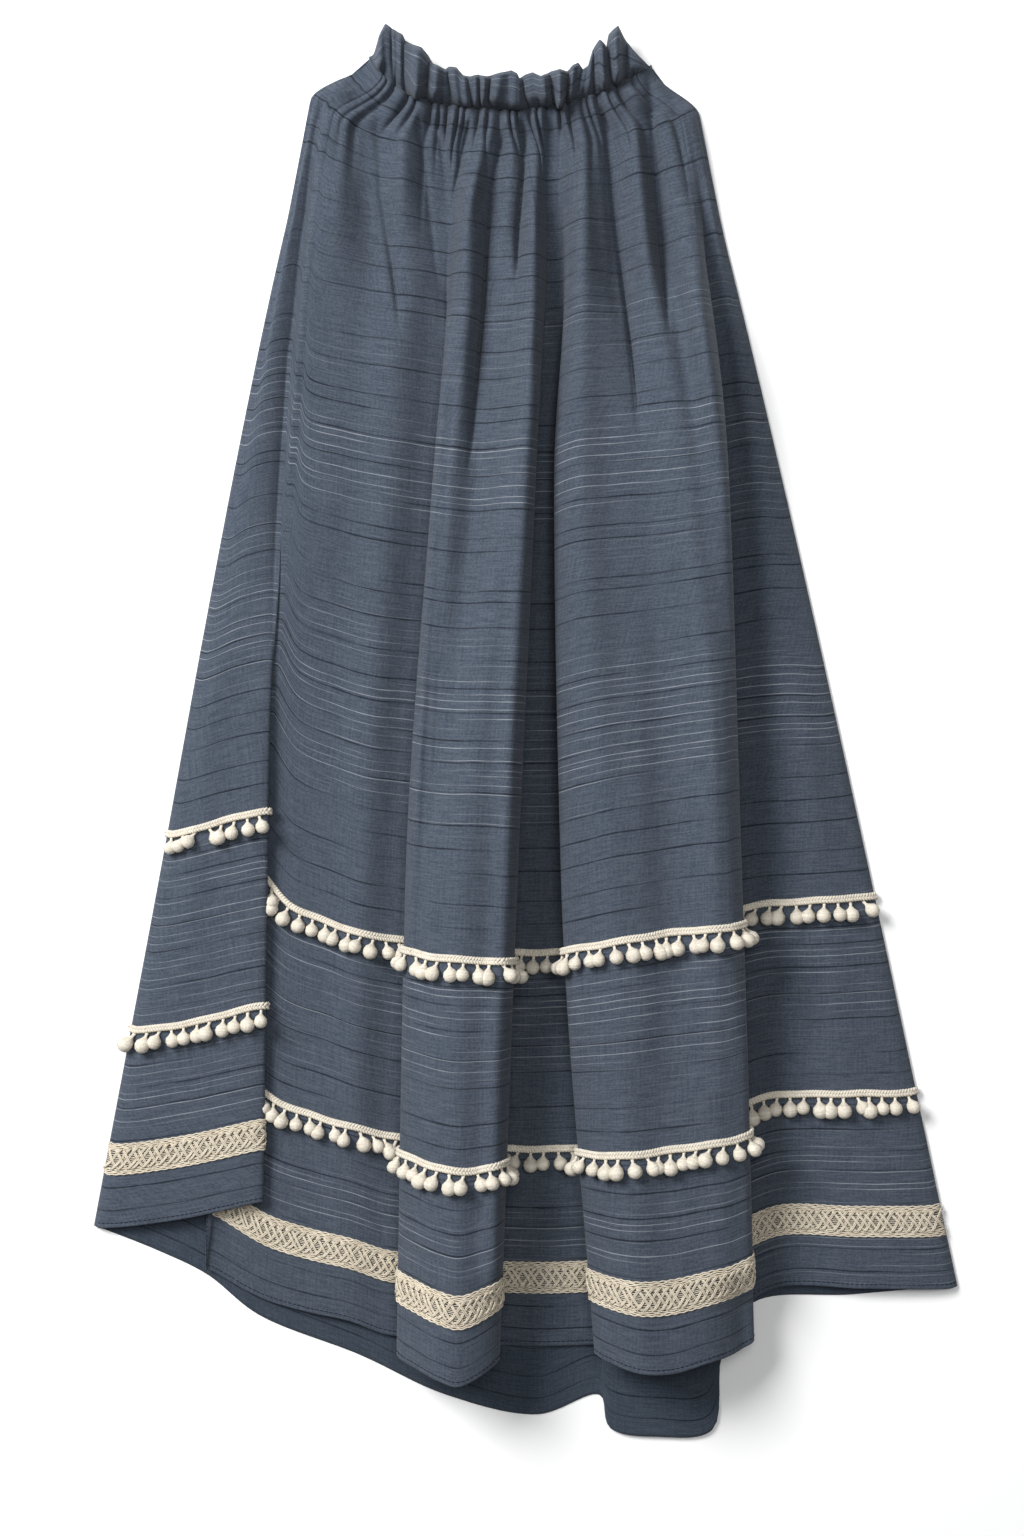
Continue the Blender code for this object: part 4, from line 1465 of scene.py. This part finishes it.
@dataclass(frozen=True)
class SlubStripes:
    """Thick and thin weft threads: dark lines with knots, and fine light broken lines."""

    # Grains to the metre each way, and detail, of the noises that bend the threads and swell them
    bend_noise: tuple[Scale, float] = ((6.0, 3.0, 1.0), 3.0)
    swell_noise: tuple[Scale, float] = ((70.0, 25.0, 1.0), 2.0)
    bend: float = 0.010
    spread: float = 0.6  # the share of its own strip over which a thread's place varies
    least_width: float = 0.00005  # keeps the division by it safe
    strip_shift: float = 3.7  # how far apart the breaks of two neighbours are read
    break_detail: float = 3.0
    whole_at: float = 0.60  # noise value above which a thread is unbroken

    def make(self) -> Tree:
        """Builds the group.

        Returns:
            The group.
        """
        tree, n, given, out = new_group(
            "slub stripes",
            [
                ("Vector", "NodeSocketVector", 0.0),
                ("Pitch", "NodeSocketFloat", 0.022),
                ("Width", "NodeSocketFloat", 0.0006),
                ("Shift", "NodeSocketFloat", 0.0),
                ("Cut", "NodeSocketFloat", 0.42),
                ("Run", "NodeSocketFloat", 16.0),
            ],
            [("Lines", "NodeSocketFloat")],
        )
        vector, pitch = given.outputs["Vector"], given.outputs["Pitch"]
        parts = n.split(vector)
        wander = n.math("MULTIPLY", n.math("SUBTRACT", n.noise(vector, *self.bend_noise), 0.5), self.bend)
        cell = n.math("DIVIDE", n.total([parts["Y"], wander, given.outputs["Shift"]]), pitch)
        whole = n.math("FLOOR", cell)
        random = n.add("ShaderNodeTexWhiteNoise", noise_dimensions="1D")
        n.link(n.math("ADD", whole, 0.5), random.inputs["W"])
        place = n.math("MULTIPLY", random.outputs["Value"], self.spread)
        place = n.math("ADD", place, (1.0 - self.spread) / 2)
        off = n.math("MULTIPLY", n.math("ABSOLUTE", n.math("SUBTRACT", n.math("FRACT", cell), place)), pitch)
        thick = n.math("MULTIPLY", n.noise(vector, *self.swell_noise), given.outputs["Width"])
        thick = n.math("MAXIMUM", thick, self.least_width)
        near = n.math("SUBTRACT", 1.0, n.math("DIVIDE", off, thick), clamp=True)
        across = n.add("ShaderNodeCombineXYZ")
        n.link(n.math("MULTIPLY", parts["X"], given.outputs["Run"]), across.inputs[0])
        n.link(n.math("MULTIPLY", whole, self.strip_shift), across.inputs[1])
        breaks = n.noise(across.outputs[0], (1.0, 1.0, 1.0), self.break_detail)
        unbroken = n.steps(breaks, given.outputs["Cut"], self.whole_at)
        n.link(n.math("MULTIPLY", near, unbroken), out.inputs["Lines"])
        return tree


class Finish:
    """A new material, laid out on the cloth's UV map."""

    def __init__(self, name: str) -> None:
        """Makes the material and its first nodes.

        Args:
            name: The material's name.
        """
        self.material = bpy.data.materials.new(name)
        self.material.use_nodes = True
        self.nodes = Nodes(self.material.node_tree)
        self.shader = self.material.node_tree.nodes["Principled BSDF"]
        self.place = self.nodes.add("ShaderNodeUVMap", uv_map="cloth").outputs[0]

    def surface(self, colour: Socket, height: Socket, bump: float, **values: float) -> Material:
        """Completes the material.

        Args:
            colour: Its colour.
            height: What its bumps follow.
            bump: How strong its bumps are.
            values: The shader's other values.

        Returns:
            The material.
        """
        self.nodes.link(colour, self.shader.inputs["Base Color"])
        node = self.nodes.add("ShaderNodeBump")
        node.inputs["Strength"].default_value = bump
        node.inputs["Distance"].default_value = BUMP_HEIGHT
        self.nodes.link(height, node.inputs["Height"])
        self.nodes.link(node.outputs[0], self.shader.inputs["Normal"])
        for label, value in values.items():
            self.shader.inputs[label.replace("_", " ")].default_value = value
        return self.material


@dataclass(frozen=True)
class SlubCloth:
    """Slubbed plain-weave cotton. Distances in metres."""

    name: str
    deep: Colour
    pale: Colour
    slub: Colour
    light: Colour
    tones: Pair = (0.36, 0.64)  # weave values for the deep tone and the pale one
    patch_noise: tuple[Scale, float] = ((0.8, 9.0, 1.0), 1.0)
    patch_edges: Pair = (0.50, 0.62)
    patch_share: float = 0.6  # light threads in loose patches, next to those in the bands
    band_edge: float = 0.01
    slub_cover: float = 0.95
    slub_height: float = 0.6
    roughness: float = 0.92
    specular: float = 0.15
    sheen: float = 0.12
    sheen_roughness: float = 0.6
    bump: float = 0.35

    def make(self, weave: Tree, slubs: Tree) -> Material:
        """Builds the material.

        Args:
            weave: The group of the weave.
            slubs: The group of the slub stripes.

        Returns:
            The material.
        """
        finish = Finish(self.name)
        n, place = finish.nodes, finish.place
        woven = n.group(weave, place)
        dark = n.group(slubs, place, Pitch=0.0195, Width=0.0017, Cut=0.32, Run=9.0)["Lines"]
        fine = n.group(slubs, place, Pitch=0.0070, Width=0.0009, Shift=0.31, Cut=0.36, Run=8.0)["Lines"]
        patches = n.math(
            "MULTIPLY", n.steps(n.noise(place, *self.patch_noise), *self.patch_edges), self.patch_share
        )
        groups = n.math("ADD", self.bands(n, place), patches, clamp=True)
        colour = n.mixed(n.steps(woven["Tone"], *self.tones), (*self.deep, 1.0), (*self.pale, 1.0))
        colour = n.mixed(n.math("MULTIPLY", fine, groups), colour, (*self.light, 1.0))
        colour = n.mixed(n.math("MULTIPLY", dark, self.slub_cover), colour, (*self.slub, 1.0))
        raised = n.math("ADD", woven["Height"], n.math("MULTIPLY", dark, self.slub_height))
        return finish.surface(
            colour,
            raised,
            self.bump,
            Roughness=self.roughness,
            Specular_IOR_Level=self.specular,
            Sheen_Weight=self.sheen,
            Sheen_Roughness=self.sheen_roughness,
        )

    def bands(self, n: Nodes, place: Socket) -> Socket:
        """Where the light weft threads lie close together.

        Args:
            n: The material's node helper.
            place: The place on the cloth.

        Returns:
            1 inside the bands and 0 outside them, as a socket.
        """
        down = n.split(place)["Y"]
        found = []
        for start, end in LIGHT_THREAD_BANDS:
            below = n.math("SUBTRACT", 1.0, n.steps(down, end, end + self.band_edge))
            found.append(n.math("MULTIPLY", n.steps(down, start - self.band_edge, start), below))
        return n.total(found)


@dataclass(frozen=True)
class EcruYarn:
    """Matt natural cotton yarn."""

    name: str
    deep: Colour
    pale: Colour
    tones: Pair = (0.3, 0.7)  # weave values for the deep tone and the pale one
    roughness: float = 0.9
    specular: float = 0.2
    bump: float = 0.6

    def make(self, weave: Tree) -> Material:
        """Builds the material.

        Args:
            weave: The group of the weave.

        Returns:
            The material.
        """
        finish = Finish(self.name)
        woven = finish.nodes.group(weave, finish.place)
        tone = finish.nodes.steps(woven["Tone"], *self.tones)
        colour = finish.nodes.mixed(tone, (*self.deep, 1.0), (*self.pale, 1.0))
        return finish.surface(
            colour, woven["Height"], self.bump, Roughness=self.roughness, Specular_IOR_Level=self.specular
        )


OUTSIDE = SlubCloth(
    "slate slub cotton",
    (0.058, 0.073, 0.098),
    (0.106, 0.124, 0.155),
    (0.008, 0.012, 0.020),
    (0.31, 0.33, 0.36),
)
# The wrong side of the cloth, and painted shade: all its colours are darkened, partly for the darker wrong
# side and partly to stand in for the shade that falls on the back's inside under the front
INSIDE_AND_PAINTED_SHADE = SlubCloth(
    "slate slub cotton inside and painted shade",
    (0.044, 0.057, 0.079),
    (0.074, 0.092, 0.117),
    (0.010, 0.014, 0.023),
    (0.13, 0.145, 0.17),
)
POMPOM_YARN = EcruYarn("ecru yarn", (0.55, 0.505, 0.43), (0.78, 0.735, 0.65))
BRAID_COTTON = EcruYarn("natural braid cotton", (0.46, 0.405, 0.32), (0.77, 0.71, 0.60))
SEWING_THREAD = EcruYarn("dark sewing thread", (0.012, 0.016, 0.026), (0.035, 0.045, 0.065))


@dataclass(frozen=True)
class Lamp:
    """A square soft light that points at the origin. Metres and watts."""

    name: str
    place: tuple[float, float, float]
    size: float
    power: float


LAMPS = (
    Lamp("large window", (-2.10, 1.60, 2.50), 1.6, 158.0),
    Lamp("ceiling", (0.3, 0.5, 3.6), 1.3, 56.0),
)


@dataclass
class Studio:
    """The pale floor, the soft lights and the camera straight above."""

    camera_height: float = CAMERA_HEIGHT
    centre: Pair = CENTRE_PLACE
    frame_height: float = 2 * CENTRE_PIXEL[1] * PIXEL
    sensor_height: float = 0.024
    floor_size: float = 12.0
    floor_colour: Colour = (0.93, 0.93, 0.93)
    floor_roughness: float = 0.95
    gamma: float = 0.84
    room_colour: Colour = (0.97, 0.98, 1.0)
    room_strength: float = 0.17

    def build(self) -> None:
        """Makes the floor, lights, world and camera."""
        scene = bpy.context.scene
        scene.view_settings.view_transform = "Standard"
        scene.view_settings.gamma = self.gamma
        world = bpy.data.worlds.new("soft room")
        world.use_nodes = True
        sky = world.node_tree.nodes["Background"]
        sky.inputs["Color"].default_value = (*self.room_colour, 1.0)
        sky.inputs["Strength"].default_value = self.room_strength
        scene.world = world
        self.floor()
        for lamp in LAMPS:
            self.light(lamp)
        camera = bpy.data.cameras.new("camera")
        camera.sensor_fit = "VERTICAL"
        camera.sensor_height = self.sensor_height / MM
        camera.lens = self.sensor_height / MM * self.camera_height / self.frame_height
        holder = bpy.data.objects.new("camera", camera)
        holder.location = (*self.centre, self.camera_height)
        scene.collection.objects.link(holder)
        scene.camera = holder

    def floor(self) -> None:
        """Makes the floor."""
        deselect()
        bpy.ops.mesh.primitive_plane_add(size=self.floor_size)
        piece = bpy.context.object
        piece.name = "floor"
        paint = bpy.data.materials.new("pale floor")
        paint.use_nodes = True
        shader = paint.node_tree.nodes["Principled BSDF"]
        shader.inputs["Base Color"].default_value = (*self.floor_colour, 1.0)
        shader.inputs["Roughness"].default_value = self.floor_roughness
        shader.inputs["Specular IOR Level"].default_value = 0.0
        piece.data.materials.append(paint)
        deselect()

    def light(self, lamp: Lamp) -> None:
        """Makes a square soft light that points at the skirt.

        Args:
            lamp: The light's place, size and power.
        """
        made = bpy.data.lights.new(lamp.name, "AREA")
        made.size = lamp.size
        made.energy = lamp.power
        holder = bpy.data.objects.new(lamp.name, made)
        holder.location = lamp.place
        holder.rotation_euler = (-Vector(lamp.place)).to_track_quat("-Z", "Y").to_euler()
        bpy.context.scene.collection.objects.link(holder)


@dataclass
class Wardrobe:
    """The finishes and the pieces that wear them."""

    weave: Tree = field(default_factory=PlainWeave().make)
    slubs: Tree = field(default_factory=SlubStripes().make)

    def dress(self, piece: Piece, finish: Material, nodes: Sequence[str]) -> None:
        """Gives a piece its finish, attaches it to the root and hides the CAD nodes that it replaces.

        Args:
            piece: The piece.
            finish: Its material.
            nodes: The CAD nodes that it replaces.
        """
        piece.data.materials.clear()
        piece.data.materials.append(finish)
        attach(piece, "root")
        if nodes:
            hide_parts(*nodes)
        triangles = sum(len(p.vertices) - 2 for p in piece.data.polygons)
        LOG.info("%s: %d triangles", piece.name, triangles)


def main() -> None:
    """Builds the skirt and its studio."""
    logging.basicConfig(level=logging.INFO, format="%(message)s")
    form = FoldForm()
    wardrobe = Wardrobe()
    cloth = OUTSIDE.make(wardrobe.weave, wardrobe.slubs)
    # Painted shade: the back's inside finish is darkened to stand in for the shade under the front, as well
    # as for the wrong side of the cloth
    inside = INSIDE_AND_PAINTED_SHADE.make(wardrobe.weave, wardrobe.slubs)
    yarn = POMPOM_YARN.make(wardrobe.weave)
    braid = BRAID_COTTON.make(wardrobe.weave)
    thread = SEWING_THREAD.make(wardrobe.weave)
    front = FrontCloth(form).build()
    heading = Heading(form).build()
    back = BackCloth(form)
    back_piece, back_heading = back.build(), back.build_heading()
    wardrobe.dress(front, cloth, ["front_panel"])
    wardrobe.dress(heading, cloth, ["waist_casing_front", "waist_ruffle_front"])
    wardrobe.dress(back_piece, inside, ["back_panel"])
    wardrobe.dress(back_heading, cloth, ["waist_casing_back", "waist_ruffle_back"])
    trims = []
    for label, at, seed in (("upper", UPPER_TAPE_AT, 3), ("lower", LOWER_TAPE_AT, 8)):
        tape = PlaitedTape(form, f"pompom_tape_{label}", at).build()
        bobbles = Pompoms(form, f"pompoms_{label}", at, seed).build()
        wardrobe.dress(tape, yarn, [f"pompom_trim_{label}"])
        wardrobe.dress(bobbles, yarn, [f"pompom_trim_{label}"])
        trims += [tape, bobbles]
    lattice = LatticeBraid(form).build()
    wardrobe.dress(lattice, braid, ["hem_braid"])
    trims.append(lattice)
    stitches = HemStitches(form).build()
    wardrobe.dress(stitches, thread, [])
    trims.append(stitches)
    Studio().build()


if __name__ == "__main__":
    main()
